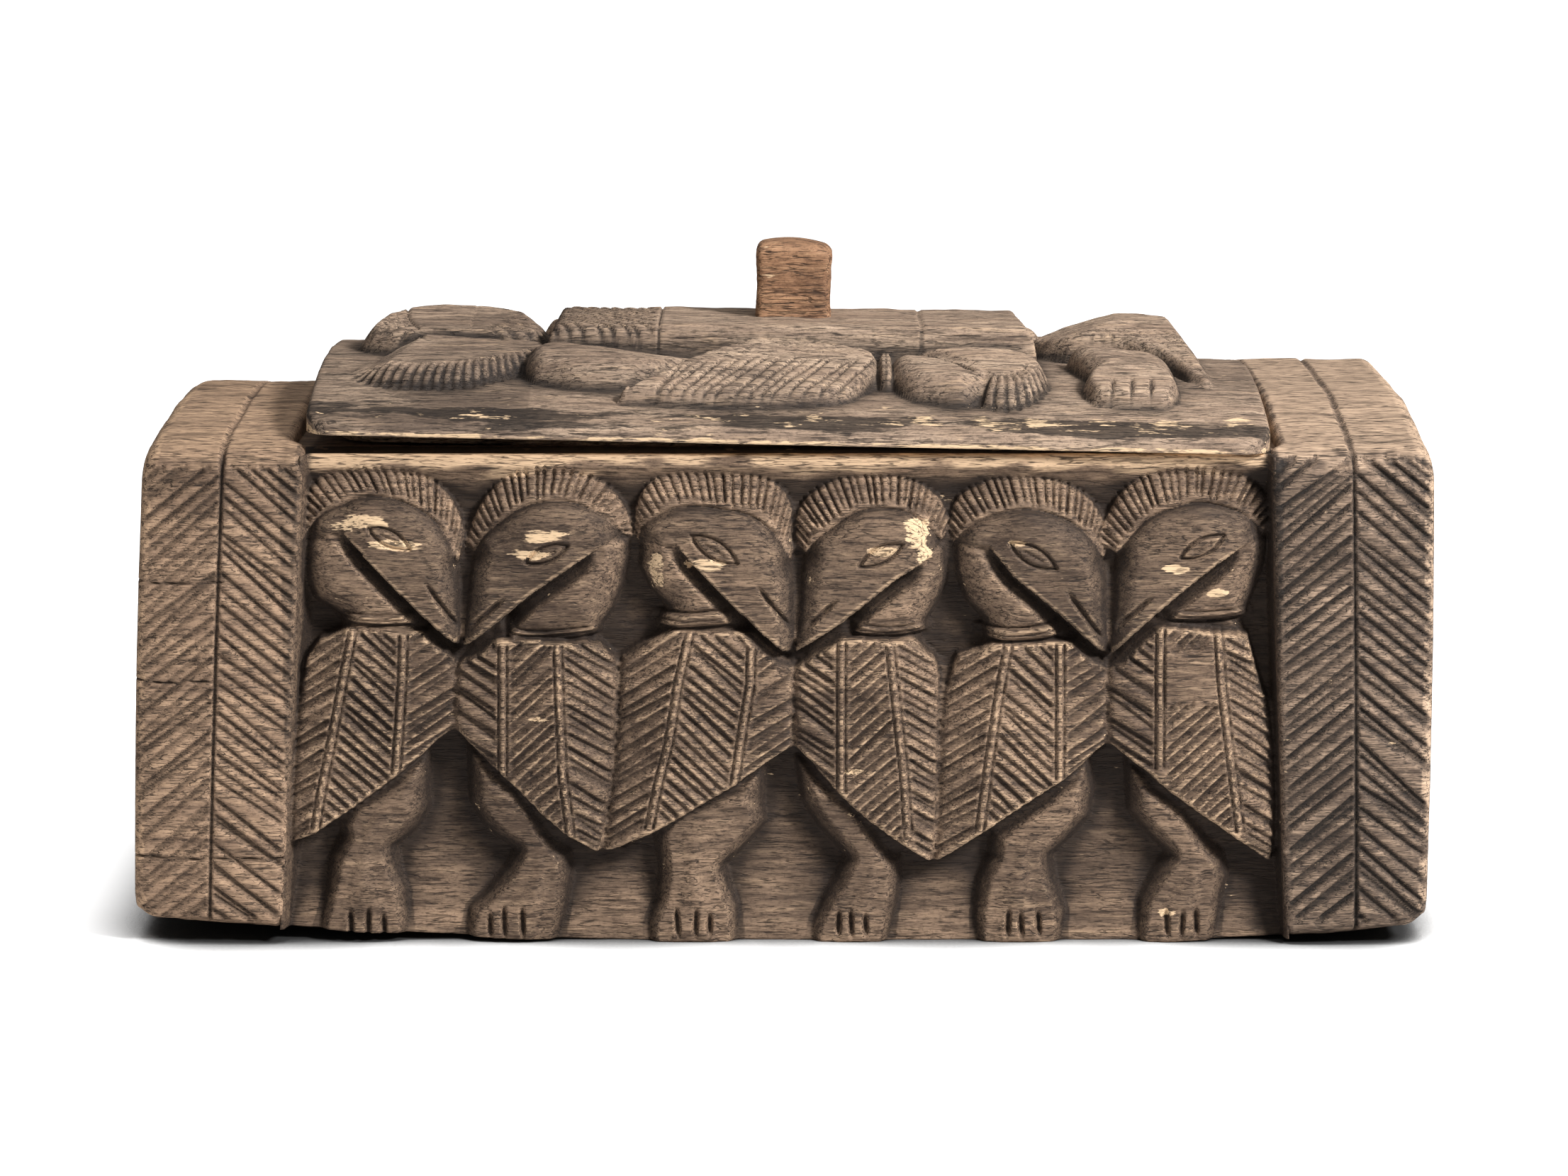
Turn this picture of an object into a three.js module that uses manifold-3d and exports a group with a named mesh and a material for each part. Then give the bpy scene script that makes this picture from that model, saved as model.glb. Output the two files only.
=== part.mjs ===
// A carved wooden box of two pieces: a trough hollowed out of one block, and a lid cut from another.
// Millimetres, +Z up. The origin is the middle of the base, and the front looks towards -Y.
import * as THREE from "three";
import * as BufferGeometryUtils from "three/addons/utils/BufferGeometryUtils.js";
import Module from "manifold-3d";

const wasm = await Module();
wasm.setup();

// The block that the body is hollowed from
const bodyDepth = 190;
const mouthLeft = 188;
const mouthRight = 191;
const leftBlockWidth = 55.5;
const rightBlockWidth = 57.5;
const leftFlare = 9;
const rightFlare = 4;
const leftTop = 202.5;
const rightTop = 206;
const wallTop = 193;
const leftLift = 10;
const rightLift = 7;
const flatLeft = 40;
const flatRight = 140;
const footRound = 9;
const shoulderHeight = 190;

// The carved panels between the end blocks
const panelLeft = 183;
const panelRight = 187;
const panelRecess = 15;
const leftSplay = 11;
const rightSplay = 9;
const bandHeight = 9;
const bandRelief = 9;
const bandChamfer = 7;

// The hollow
const cavityLeft = 158;
const cavityRight = 178;
const cavityHalf = 66;
const cavityRound = 14;
const floorThickness = 24;

// The groove that parts the two columns of each end block
const grooveWidth = 4;
const grooveDepth = 2.4;
const topGrooveShare = 0.3;

// The birds of the panels: each stands in a bay between these places along the panel
const bayEdges = [-186, -123, -64, 5, 61, 125.5, 187];
const birdFoot = 1;
const birdTop = 187;
const legRelief = 9.5;
const crestRelief = 8;
const neckRelief = 11.5;
const headRelief = 14;
const wingRelief = 13;
const collarRelief = 12;
const roundBevel = 5;
const reliefBevel = 3;
const collarBevel = 1.5;
const reliefRoot = 5;

// The cuts that part the wings' feathers and mark the beaks, and the widest spaced strokes of the end blocks
const cutWidth = 3.4;
const cutDepth = 1.8;
const beakCutWidth = 5;
const beakCutDepth = 4;
const strokeFoot = 22;
const strokeSpacing = 35;
const strokeRows = 5;
const strokeMargin = 3;
const strokeSlope = 0.8;

// The lid
const lidHalfLength = 185;
const lidShift = 2.5;
const lidHalfDepth = 92;
const lidCrown = 20;
const lidCornerRound = 12;
const lidSeatGap = 0.3;
const plugDepth = 7.1;
const plugEndPlay = 3;
const plugSidePlay = 1.5;
const plugRoot = 2;

// What stands on the lid: a bar with the handle, and a bird along each side
const barLeft = 96;
const barRight = 97;
const barHalfWidth = 31;
const barTop = 37;
const barCorner = 6;
const barBevel = 4;
const handleCentre = 1.2;
const handleBack = 9;
const handleWidth = 29.5;
const handleDepth = 22.5;
const handleRise = 30.8;
const handleCorner = 5;
const handleBevel = 3;
const lidBirdTop = 37;
const fullBevel = 7;
const softBevel = 5;
const crispBevel = 2.5;
const thinBevel = 1;

// The corners that the lid's birds are measured from, and how far they reach
const longBirdLeft = -104;
const longBirdFront = -74;
const longBirdLength = 206;
const longBirdWidth = 48;
const leftBirdLeft = -171;
const leftBirdFront = -59;
const leftBirdLength = 79;
const leftBirdWidth = 121;
const rightBirdLeft = 96;
const rightBirdFront = -67.5;
const rightBirdLength = 74;
const rightBirdWidth = 131.5;

const curveSteps = 5;
const overrun = 2;

const woodColour = 0x6b543f;
const lidColour = 0x66523f;

// Outlines of a bird that stands upright and faces right, in shares of its bay's width and of its height
const crestShares = [
  [-0.03, 0.84], [-0.03, 0.9], [0.07, 0.955], [0.2, 0.985], [0.36, 1], [0.54, 1],
  [0.7, 0.988], [0.83, 0.96], [0.93, 0.91], [0.985, 0.84], [0.8, 0.83], [0.2, 0.83],
];
const neckShares = [
  [0.02, 0.86], [-0.04, 0.8], [-0.03, 0.75], [0.04, 0.705], [0.16, 0.665], [0.84, 0.665],
  [0.9, 0.7], [0.6, 0.84], [0.2, 0.89],
];
const headShares = [
  [0.03, 0.86], [0.14, 0.905], [0.3, 0.932], [0.52, 0.935], [0.68, 0.915], [0.82, 0.88],
  [0.93, 0.82], [0.985, 0.75], [0.995, 0.625], [0.24, 0.845],
];
const collarShares = [[0.13, 0.645], [0.14, 0.672], [0.8, 0.675], [0.82, 0.648]];
const wingShares = [
  [0.16, 0.638], [0.05, 0.585], [0, 0.5], [-0.01, 0.35], [0, 0.21], [0.06, 0.178],
  [0.32, 0.22], [0.5, 0.262], [0.76, 0.355], [0.98, 0.43], [0.99, 0.6], [0.84, 0.64],
];
const legShares = [
  [0.84, 0.42], [0.86, 0.27], [0.74, 0.21], [0.62, 0.168], [0.66, 0.115], [0.74, 0.06],
  [0.78, 0], [0.27, 0], [0.29, 0.07], [0.26, 0.15], [0.33, 0.2], [0.45, 0.28], [0.5, 0.42],
];

// The lid's cross section, in shares of half its depth and of its height at the crown
const lidArchShares = [
  [1, 0.05], [1, 0.22], [0.94, 0.36], [0.86, 0.52], [0.74, 0.7], [0.6, 0.84], [0.42, 0.94], [0.2, 1],
];

// The end blocks' tops rise in a slope and run level, in shares of half the depth and of the rise to the top
const leftFrontShares = [[1, 0], [0.975, 0.42], [0.84, 0.63], [0.67, 0.75], [0.36, 0.86], [0.1, 1]];
const leftBackShares = [[0.3, 1], [0.48, 0.88], [0.64, 0.72], [0.8, 0.52], [0.94, 0.34], [1, 0]];
const rightFrontShares = [[1, 0], [0.95, 0.25], [0.85, 0.38], [0.56, 0.66], [0.36, 0.83], [0.18, 1]];
const rightBackShares = [[0.88, 1], [0.97, 0.8], [1, 0.5]];

// The two quills that part a wing, and the groove under a beak, in the shares of the bird's outlines
const quillShares = [[[0.28, 0.63], [0.15, 0.21]], [[0.69, 0.63], [0.67, 0.34]]];
const beakCutShares = [[0.27, 0.83], [0.97, 0.65]];

// The lid's birds, form by form, in shares of the bird's length and width along and across the lid
const longLegShares = [
  [0.01, 0.854], [0, 0.625], [0.019, 0.438], [0.063, 0.354], [0.117, 0.292], [0.184, 0.292],
  [0.262, 0.396], [0.33, 0.625], [0.359, 0.833], [0.214, 0.938], [0.068, 0.958],
];
const longWingShares = [
  [0.184, 0.062], [0.252, 0.021], [0.335, 0], [0.466, 0.021], [0.563, 0.062], [0.612, 0.146],
  [0.641, 0.292], [0.67, 0.542], [0.675, 0.75], [0.66, 0.875], [0.592, 0.938], [0.505, 0.969],
  [0.427, 0.958], [0.364, 0.792], [0.301, 0.562], [0.248, 0.312],
];
const longCollarShares = [[0.672, 0.896], [0.672, 0.5], [0.697, 0.479], [0.697, 0.896]];
const longNeckShares = [
  [0.699, 0.833], [0.699, 0.5], [0.728, 0.25], [0.777, 0.146], [0.83, 0.104], [0.874, 0.229],
  [0.903, 0.458], [0.864, 0.667], [0.796, 0.833],
];
const longCrestShares = [
  [0.859, 0.146], [0.893, 0.083], [0.932, 0.104], [0.966, 0.271], [0.99, 0.5], [1, 0.688],
  [0.971, 0.771], [0.937, 0.604], [0.898, 0.438], [0.859, 0.333],
];
const longHeadShares = [
  [0.714, 0.875], [0.786, 0.969], [0.903, 1], [0.961, 0.917], [0.981, 0.792], [0.951, 0.625],
  [0.913, 0.479], [0.874, 0.438], [0.845, 0.604], [0.796, 0.729], [0.748, 0.792],
];
const leftLegShares = [[0.266, 0.736], [0.241, 0.983], [0.747, 1], [0.772, 0.736]];
const leftWingShares = [
  [0, 0.405], [0.013, 0.512], [0.089, 0.628], [0.241, 0.744], [0.443, 0.802], [0.722, 0.769],
  [0.911, 0.653], [1, 0.504], [0.937, 0.388], [0.62, 0.355], [0.241, 0.339],
];
const leftNeckShares = [
  [0.127, 0.215], [0.076, 0.306], [0.19, 0.388], [0.392, 0.421], [0.62, 0.388], [0.696, 0.289],
  [0.544, 0.19], [0.291, 0.157],
];
const leftCrestShares = [
  [0.051, 0.116], [0.063, 0.05], [0.139, 0.012], [0.316, 0], [0.544, 0.017], [0.696, 0.066],
  [0.823, 0.14], [0.937, 0.215], [0.848, 0.248], [0.646, 0.174], [0.316, 0.124], [0.165, 0.149],
];
const leftHeadShares = [
  [0.177, 0.14], [0.316, 0.083], [0.544, 0.091], [0.747, 0.14], [0.911, 0.215], [0.962, 0.281],
  [0.848, 0.355], [0.57, 0.347], [0.316, 0.289],
];
const rightLegShares = [
  [0.216, 0.452], [0.23, 0.323], [0.297, 0.232], [0.459, 0.179], [0.676, 0.179], [0.743, 0.285],
  [0.676, 0.437],
];
const rightFootShares = [
  [0.257, 0.148], [0.284, 0.049], [0.378, 0.011], [0.622, 0], [0.743, 0.011], [0.824, 0.103],
  [0.811, 0.194], [0.703, 0.255], [0.514, 0.3], [0.338, 0.255],
];
const rightWingShares = [
  [0, 0.62], [0.068, 0.551], [0.23, 0.49], [0.432, 0.43], [0.66, 0.4], [0.84, 0.361],
  [0.94, 0.437], [0.93, 0.559], [0.88, 0.696], [0.79, 0.81], [0.595, 0.863], [0.351, 0.833],
  [0.149, 0.764], [0.027, 0.696],
];
const rightTipShares = [
  [0.595, 0.452], [0.73, 0.376], [0.82, 0.293], [0.91, 0.186], [0.97, 0.255], [0.96, 0.407], [0.92, 0.513],
];
const rightNeckShares = [[0.216, 0.741], [0.189, 0.924], [0.73, 0.939], [0.757, 0.741]];
const rightCrestShares = [
  [0.054, 0.878], [0.108, 0.97], [0.459, 1], [0.838, 0.954], [0.892, 0.863], [0.73, 0.848],
  [0.459, 0.878], [0.216, 0.848],
];

// How high each of these forms stands at its front and at its back, in shares of the birds' full height
const longBirdForms = [
  { outline: longLegShares, heightShares: [0.64, 0.83], bevel: softBevel },
  { outline: longWingShares, heightShares: [0.38, 0.87], bevel: crispBevel },
  { outline: longCollarShares, heightShares: [0.62, 0.78], bevel: thinBevel },
  { outline: longNeckShares, heightShares: [0.6, 0.79], bevel: softBevel },
  { outline: longCrestShares, heightShares: [0.46, 0.73], bevel: thinBevel },
  { outline: longHeadShares, heightShares: [0.67, 0.87], bevel: crispBevel },
];
const leftBirdForms = [
  { outline: leftLegShares, heightShares: [0.83, 0.57], bevel: softBevel },
  { outline: leftWingShares, heightShares: [0.92, 0.89], bevel: fullBevel },
  { outline: leftNeckShares, heightShares: [0.85, 0.85], bevel: softBevel },
  { outline: leftCrestShares, heightShares: [0.61, 0.9], bevel: thinBevel },
  { outline: leftHeadShares, heightShares: [0.84, 0.87], bevel: softBevel },
];
const rightBirdForms = [
  { outline: rightLegShares, heightShares: [0.74, 0.83], bevel: softBevel },
  { outline: rightFootShares, heightShares: [0.52, 0.75], bevel: crispBevel },
  { outline: rightWingShares, heightShares: [0.68, 0.94], bevel: fullBevel },
  { outline: rightTipShares, heightShares: [0.51, 0.82], bevel: crispBevel },
  { outline: rightNeckShares, heightShares: [0.84, 0.59], bevel: softBevel },
  { outline: rightCrestShares, heightShares: [0.69, 0.55], bevel: crispBevel },
];

function solidOf(geometry) {
  const bare = geometry.clone();
  bare.deleteAttribute("normal");
  bare.deleteAttribute("uv");
  const merged = BufferGeometryUtils.mergeVertices(bare);
  const mesh = new wasm.Mesh({
    numProp: 3,
    vertProperties: new Float32Array(merged.attributes.position.array),
    triVerts: new Uint32Array(merged.index.array),
  });
  return new wasm.Manifold(mesh);
}

function geometryOf(solid) {
  const mesh = solid.getMesh();
  const geometry = new THREE.BufferGeometry();
  geometry.setAttribute("position", new THREE.BufferAttribute(new Float32Array(mesh.vertProperties), 3));
  geometry.setIndex(new THREE.BufferAttribute(new Uint32Array(mesh.triVerts), 1));
  geometry.computeVertexNormals();
  return geometry;
}

function union(solids) {
  return solids.reduce((whole, solid) => whole.add(solid));
}

function polygon(points) {
  return new THREE.Shape(points.map(([x, y]) => new THREE.Vector2(x, y)));
}

// A prism of a shape, from low to high along its own third axis, then placed
function prism(shape, low, high, place) {
  const geometry = new THREE.ExtrudeGeometry(shape, {
    depth: high - low,
    bevelEnabled: false,
    curveSegments: curveSteps,
  });
  geometry.translate(0, 0, low);
  geometry.applyMatrix4(place);
  return solidOf(geometry);
}

// A prism whose top edge is rounded over by the bevel; its foot is bevelled too, and lies buried
function cushion(shape, low, high, bevel) {
  const geometry = new THREE.ExtrudeGeometry(shape, {
    depth: high - low - 2 * bevel,
    bevelThickness: bevel,
    bevelSize: bevel,
    bevelOffset: -bevel,
    bevelSegments: 2,
    curveSegments: curveSteps,
  });
  geometry.translate(0, 0, low + bevel);
  return geometry;
}

function cushioned(shape, low, high, bevel, place) {
  return solidOf(cushion(shape, low, high, bevel).applyMatrix4(place));
}

// A cushion whose top slopes from one height at its front to another at its back
function slopingCushion(points, frontTop, backTop, bevel, place) {
  const high = Math.max(frontTop, backTop);
  const geometry = cushion(polygon(points), 0, high, bevel);
  const front = Math.min(...points.map(([, y]) => y));
  const back = Math.max(...points.map(([, y]) => y));
  const position = geometry.attributes.position;
  for (let index = 0; index < position.count; index += 1) {
    const share = (position.getY(index) - front) / (back - front);
    const top = frontTop + (backTop - frontTop) * share;
    position.setZ(index, (position.getZ(index) * top) / high);
  }
  return solidOf(geometry.applyMatrix4(place));
}

const xAxis = new THREE.Vector3(1, 0, 0);
const yAxis = new THREE.Vector3(0, 1, 0);
const zAxis = new THREE.Vector3(0, 0, 1);
const inPlan = new THREE.Matrix4();
const onFront = new THREE.Matrix4().makeBasis(xAxis, zAxis, yAxis.clone().negate());
const onBack = new THREE.Matrix4().makeBasis(xAxis.clone().negate(), zAxis, yAxis);
const alongX = new THREE.Matrix4().makeBasis(yAxis, zAxis, xAxis);

// A bird's parts, each with its outline and how far it stands out
const birdParts = [
  { shares: legShares, relief: legRelief, bevel: roundBevel },
  { shares: crestShares, relief: crestRelief, bevel: reliefBevel },
  { shares: neckShares, relief: neckRelief, bevel: roundBevel },
  { shares: collarShares, relief: collarRelief, bevel: collarBevel },
  { shares: wingShares, relief: wingRelief, bevel: reliefBevel },
  { shares: headShares, relief: headRelief, bevel: roundBevel },
];

function birdPlace([across, up], back, tip) {
  return [back + across * (tip - back), birdFoot + up * (birdTop - birdFoot)];
}

// ---------------------------------------------------------------- the body
const outerLeft = mouthLeft + leftBlockWidth;
const outerRight = mouthRight + rightBlockWidth;
const halfDepth = bodyDepth / 2;
const groundOut = halfDepth - panelRecess;

// The front view of the block: its ends flare towards the base, and the base is bowed
function blockOutline() {
  const left = -(outerLeft + leftFlare);
  const right = outerRight + rightFlare;
  const shape = new THREE.Shape();
  shape.moveTo(-flatLeft, 0);
  shape.lineTo(flatRight, 0);
  shape.quadraticCurveTo((flatRight + right) / 2, 0, right - footRound, rightLift);
  shape.quadraticCurveTo(right, rightLift, right, rightLift + footRound);
  shape.lineTo(outerRight, rightTop);
  shape.lineTo(-outerLeft, leftTop);
  shape.lineTo(left, leftLift + footRound);
  shape.quadraticCurveTo(left, leftLift, left + footRound, leftLift);
  shape.quadraticCurveTo((left - flatLeft) / 2, 0, -flatLeft, 0);
  return shape;
}

// The end view of the block: upright faces, and a top that slopes up from each shoulder
function blockSection(top, frontShares, backShares) {
  const rise = top - shoulderHeight;
  const rising = frontShares.map(([out, up]) => [-out * halfDepth, shoulderHeight + up * rise]);
  const falling = backShares.map(([out, up]) => [out * halfDepth, shoulderHeight + up * rise]);
  return polygon([[-halfDepth, 0], ...rising, ...falling, [halfDepth, 0]]);
}

function block() {
  const reach = outerRight + leftFlare + rightFlare;
  const front = prism(blockOutline(), -halfDepth, halfDepth, onFront);
  const left = prism(blockSection(leftTop, leftFrontShares, leftBackShares), -reach, 0, alongX);
  const right = prism(blockSection(rightTop, rightFrontShares, rightBackShares), 0, reach, alongX);
  return front.intersect(union([left, right]));
}

// The sunk panel between the end blocks, open at its base; its sides lean out as the end blocks do
function panelCut(low, high) {
  const shape = polygon([
    [-(panelLeft + leftSplay), -overrun],
    [panelRight + rightSplay, -overrun],
    [panelRight, wallTop + overrun],
    [-panelLeft, wallTop + overrun],
  ]);
  return prism(shape, low, high, onFront);
}

function mouthCut() {
  const shape = polygon([
    [-mouthLeft, wallTop], [mouthRight, wallTop],
    [mouthRight, rightTop + overrun], [-mouthLeft, rightTop + overrun],
  ]);
  return prism(shape, -halfDepth - overrun, halfDepth + overrun, onFront);
}

function roundedRectangle(left, right, half, radius) {
  const shape = new THREE.Shape();
  shape.moveTo(left + radius, -half);
  shape.lineTo(right - radius, -half);
  shape.quadraticCurveTo(right, -half, right, radius - half);
  shape.lineTo(right, half - radius);
  shape.quadraticCurveTo(right, half, right - radius, half);
  shape.lineTo(left + radius, half);
  shape.quadraticCurveTo(left, half, left, half - radius);
  shape.lineTo(left, radius - half);
  shape.quadraticCurveTo(left, -half, left + radius, -half);
  return shape;
}

function cavityCut() {
  const shape = roundedRectangle(-cavityLeft, cavityRight, cavityHalf, cavityRound);
  return prism(shape, floorThickness, rightTop + overrun, inPlan);
}

// The plain band under the rim of a long side, proud of the panel
function rimBand(side) {
  const face = -side * (groundOut + bandRelief);
  const root = -side * (groundOut - reliefRoot);
  const ground = -side * groundOut;
  const shape = polygon([
    [root, wallTop], [face, wallTop], [face, wallTop - bandHeight],
    [ground, wallTop - bandHeight - bandChamfer], [root, wallTop - bandHeight - bandChamfer],
  ]);
  return prism(shape, -panelLeft - overrun, panelRight + overrun, alongX);
}

// Six birds in three pairs, the two of a pair beak to beak
function frieze(place) {
  const parts = [];
  for (let bay = 0; bay < bayEdges.length - 1; bay += 1) {
    const facesRight = bay % 2 === 0;
    const back = facesRight ? bayEdges[bay] : bayEdges[bay + 1];
    const tip = facesRight ? bayEdges[bay + 1] : bayEdges[bay];
    for (const part of birdParts) {
      const outline = polygon(part.shares.map((share) => birdPlace(share, back, tip)));
      const low = groundOut - reliefRoot;
      parts.push(cushioned(outline, low, groundOut + part.relief, part.bevel, place));
    }
  }
  return union(parts);
}

// A straight V cut in a face that looks along out
function score(from, to, out, width, depth) {
  const along = to.clone().sub(from);
  const length = along.length();
  along.normalize();
  const side = out.clone().cross(along);
  const place = new THREE.Matrix4().makeBasis(side, out, along).setPosition(from);
  return prism(polygon([[-width / 2, overrun], [0, -depth], [width / 2, overrun]]), 0, length, place);
}

// The main cuts in the birds of one long side
function birdCuts(out) {
  const cuts = [];
  for (let bay = 0; bay < bayEdges.length - 1; bay += 1) {
    const facesRight = bay % 2 === 0;
    const back = facesRight ? bayEdges[bay] : bayEdges[bay + 1];
    const tip = facesRight ? bayEdges[bay + 1] : bayEdges[bay];
    const spot = (share, relief) => {
      const [x, z] = birdPlace(share, back, tip);
      return new THREE.Vector3(-x * out.y, out.y * (groundOut + relief), z);
    };
    for (const [top, foot] of quillShares) {
      cuts.push(score(spot(top, wingRelief), spot(foot, wingRelief), out, cutWidth, cutDepth));
    }
    const [rear, point] = beakCutShares;
    cuts.push(score(spot(rear, headRelief), spot(point, headRelief), out, beakCutWidth, beakCutDepth));
  }
  return union(cuts);
}

// Strokes that rise towards the groove in the middle of an end block's face
function blockStrokes(middle, halfWidth, out) {
  const cuts = [];
  for (let row = 0; row < strokeRows; row += 1) {
    for (const side of [-1, 1]) {
      const low = strokeFoot + row * strokeSpacing;
      const reach = halfWidth - strokeMargin;
      const outer = new THREE.Vector3(middle + side * reach, out.y * halfDepth, low);
      const inner = new THREE.Vector3(middle + side * grooveWidth / 2, out.y * halfDepth, low + reach * strokeSlope);
      cuts.push(score(outer, inner, out, cutWidth, cutDepth));
    }
  }
  return union(cuts);
}

// A groove down the front, over the top and down the back of an end block
function blockGroove(middle) {
  const shape = polygon([
    [middle - grooveWidth / 2, overrun], [middle, -grooveDepth], [middle + grooveWidth / 2, overrun],
  ]);
  const length = rightTop + overrun;
  const onTop = (height) => new THREE.Matrix4()
    .makeBasis(xAxis, zAxis, yAxis.clone().negate())
    .setPosition(0, 0, height);
  const upFront = new THREE.Matrix4().makeBasis(xAxis, yAxis.clone().negate(), zAxis.clone().negate())
    .setPosition(0, -halfDepth, length);
  const upBack = new THREE.Matrix4().makeBasis(xAxis, yAxis, zAxis).setPosition(0, halfDepth, 0);
  const height = middle < 0 ? leftTop : rightTop;
  const level = halfDepth * topGrooveShare;
  return union([
    prism(shape, 0, length, upFront),
    prism(shape, 0, length, upBack),
    prism(shape, -level, level, onTop(height)),
  ]);
}

function body() {
  const blank = block();
  let solid = blank.subtract(panelCut(groundOut, halfDepth + overrun));
  solid = solid.subtract(panelCut(-halfDepth - overrun, -groundOut));
  solid = solid.subtract(mouthCut());
  solid = union([solid, rimBand(1), rimBand(-1), frieze(onFront), frieze(onBack)]).intersect(blank);
  const leftMiddle = -mouthLeft - leftBlockWidth / 2;
  const rightMiddle = mouthRight + rightBlockWidth / 2;
  solid = solid.subtract(union([blockGroove(leftMiddle), blockGroove(rightMiddle)]));
  for (const out of [yAxis.clone().negate(), yAxis]) {
    solid = solid.subtract(birdCuts(out));
    solid = solid.subtract(blockStrokes(leftMiddle, leftBlockWidth / 2, out));
    solid = solid.subtract(blockStrokes(rightMiddle, rightBlockWidth / 2, out));
  }
  return solid.subtract(cavityCut());
}

// ---------------------------------------------------------------- the lid
function lidSection() {
  const rising = lidArchShares.map(([out, up]) => [-out * lidHalfDepth, up * lidCrown]);
  const falling = rising.map(([y, z]) => [-y, z]).reverse();
  return polygon([[-lidHalfDepth, 0], ...rising, ...falling, [lidHalfDepth, 0]]);
}

function lidSlab() {
  const arch = prism(lidSection(), -lidHalfLength, lidHalfLength, alongX);
  const plan = roundedRectangle(-lidHalfLength, lidHalfLength, lidHalfDepth, lidCornerRound);
  return arch.intersect(prism(plan, -overrun, lidCrown + overrun, inPlan));
}

// The block under the lid that fits the hollow when the lid is turned end for end
const plugLeft = cavityRight - plugEndPlay;
const plugRight = cavityLeft - plugEndPlay;

function lidPlug() {
  const shape = roundedRectangle(-plugLeft, plugRight, cavityHalf - plugSidePlay, cavityRound);
  return prism(shape, -plugDepth, plugRoot, inPlan);
}

function lidBar() {
  const shape = roundedRectangle(-barLeft, barRight, barHalfWidth, barCorner);
  return cushioned(shape, 0, barTop, barBevel, inPlan);
}

function lidHandle() {
  const shape = roundedRectangle(
    handleCentre - handleWidth / 2, handleCentre + handleWidth / 2, handleDepth / 2, handleCorner);
  const place = new THREE.Matrix4().makeTranslation(0, handleBack, 0);
  return cushioned(shape, 0, barTop + handleRise, handleBevel, place);
}

// A bird on the lid, form by form, from the corner that it is measured from
function lidBird(forms, left, front, length, width, place) {
  const solids = forms.map((form) => {
    const points = form.outline.map(([along, across]) => [left + along * length, front + across * width]);
    const [frontTop, backTop] = form.heightShares.map((share) => share * lidBirdTop);
    return slopingCushion(points, frontTop, backTop, form.bevel, place);
  });
  return union(solids);
}

function lid() {
  const halfTurn = new THREE.Matrix4().makeRotationZ(Math.PI);
  const longBird = (place) => lidBird(
    longBirdForms, longBirdLeft, longBirdFront, longBirdLength, longBirdWidth, place);
  const leftBird = lidBird(
    leftBirdForms, leftBirdLeft, leftBirdFront, leftBirdLength, leftBirdWidth, inPlan);
  const rightBird = lidBird(
    rightBirdForms, rightBirdLeft, rightBirdFront, rightBirdLength, rightBirdWidth, inPlan);
  return union([
    lidSlab(), lidPlug(), lidBar(), lidHandle(), longBird(inPlan), longBird(halfTurn), leftBird, rightBird,
  ]);
}

const boxBody = new THREE.Mesh(
  geometryOf(body()),
  new THREE.MeshStandardMaterial({ color: woodColour, roughness: 0.8, metalness: 0 }),
);
boxBody.name = "box_body";

// The lid's right edge bears on the rim, and the plug rides on the hollow's left corners, so the lid sits askew
const lidTilt = Math.atan2(plugDepth, lidHalfLength + lidShift + cavityLeft - cavityRound);
const lidMesh = new THREE.Mesh(
  geometryOf(lid()),
  new THREE.MeshStandardMaterial({ color: lidColour, roughness: 0.8, metalness: 0 }),
);
lidMesh.name = "lid";
lidMesh.rotation.y = lidTilt;
lidMesh.position.x = lidShift;
lidMesh.position.z = wallTop + lidSeatGap + lidHalfLength * Math.sin(lidTilt);

const carvedBox = new THREE.Group();
carvedBox.add(boxBody, lidMesh);

export default carvedBox;
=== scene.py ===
import math
import bmesh
import bpy
import numpy as np
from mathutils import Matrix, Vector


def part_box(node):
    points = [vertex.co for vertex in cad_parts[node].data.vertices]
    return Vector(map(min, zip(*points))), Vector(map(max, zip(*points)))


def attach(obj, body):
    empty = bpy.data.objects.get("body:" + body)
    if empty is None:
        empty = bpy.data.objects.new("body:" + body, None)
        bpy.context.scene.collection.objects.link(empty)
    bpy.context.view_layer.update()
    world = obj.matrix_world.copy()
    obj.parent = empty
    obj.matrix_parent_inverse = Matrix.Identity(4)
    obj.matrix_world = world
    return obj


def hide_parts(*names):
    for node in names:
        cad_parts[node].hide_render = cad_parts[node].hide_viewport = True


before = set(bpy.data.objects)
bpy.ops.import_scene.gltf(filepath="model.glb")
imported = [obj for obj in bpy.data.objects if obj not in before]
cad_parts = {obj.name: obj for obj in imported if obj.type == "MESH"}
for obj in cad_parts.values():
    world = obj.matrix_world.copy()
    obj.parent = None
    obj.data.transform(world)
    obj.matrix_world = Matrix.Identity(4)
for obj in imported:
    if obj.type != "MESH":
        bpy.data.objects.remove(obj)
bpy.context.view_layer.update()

# The long walls
# Both long sides of the trough are sunk between the end blocks and carved with six birds in three
# pairs, beak to beak. Everything is cut from the block that the box is hollowed from.
MM = 0.001
FINE = 1.0
body_low, body_high = [np.array(corner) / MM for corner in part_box("box_body")]
half_depth = body_high[1]
wall_top = 193.0
ground_out = half_depth - 15.0
rim_out = half_depth - 7.0
wall_inner = 69.0
wall_lap = 1.5
panel_low = (-194.5, 196.5)
panel_high = (-182.5, 187.0)
flat_base = (-40.0, 140.0)
base_lift = (10.0, 7.0)
wall_parts = 3
front_cell = 0.56 * FINE
back_cell = 0.85 * FINE
# how far round a place the carving darkens it, by dirt and by painted shade
dirt_and_shade_reach = 5.0
wear_reach = 1.2

# The outlines are read off the photograph in its pixels, and this turns them into millimetres on the wall
photo_middle = 1106
photo_rim = 641
pixel_width = 0.2722
pixel_width_gain = 8.5e-6
pixel_height = 0.282
photo_shift = 1.5


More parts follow.
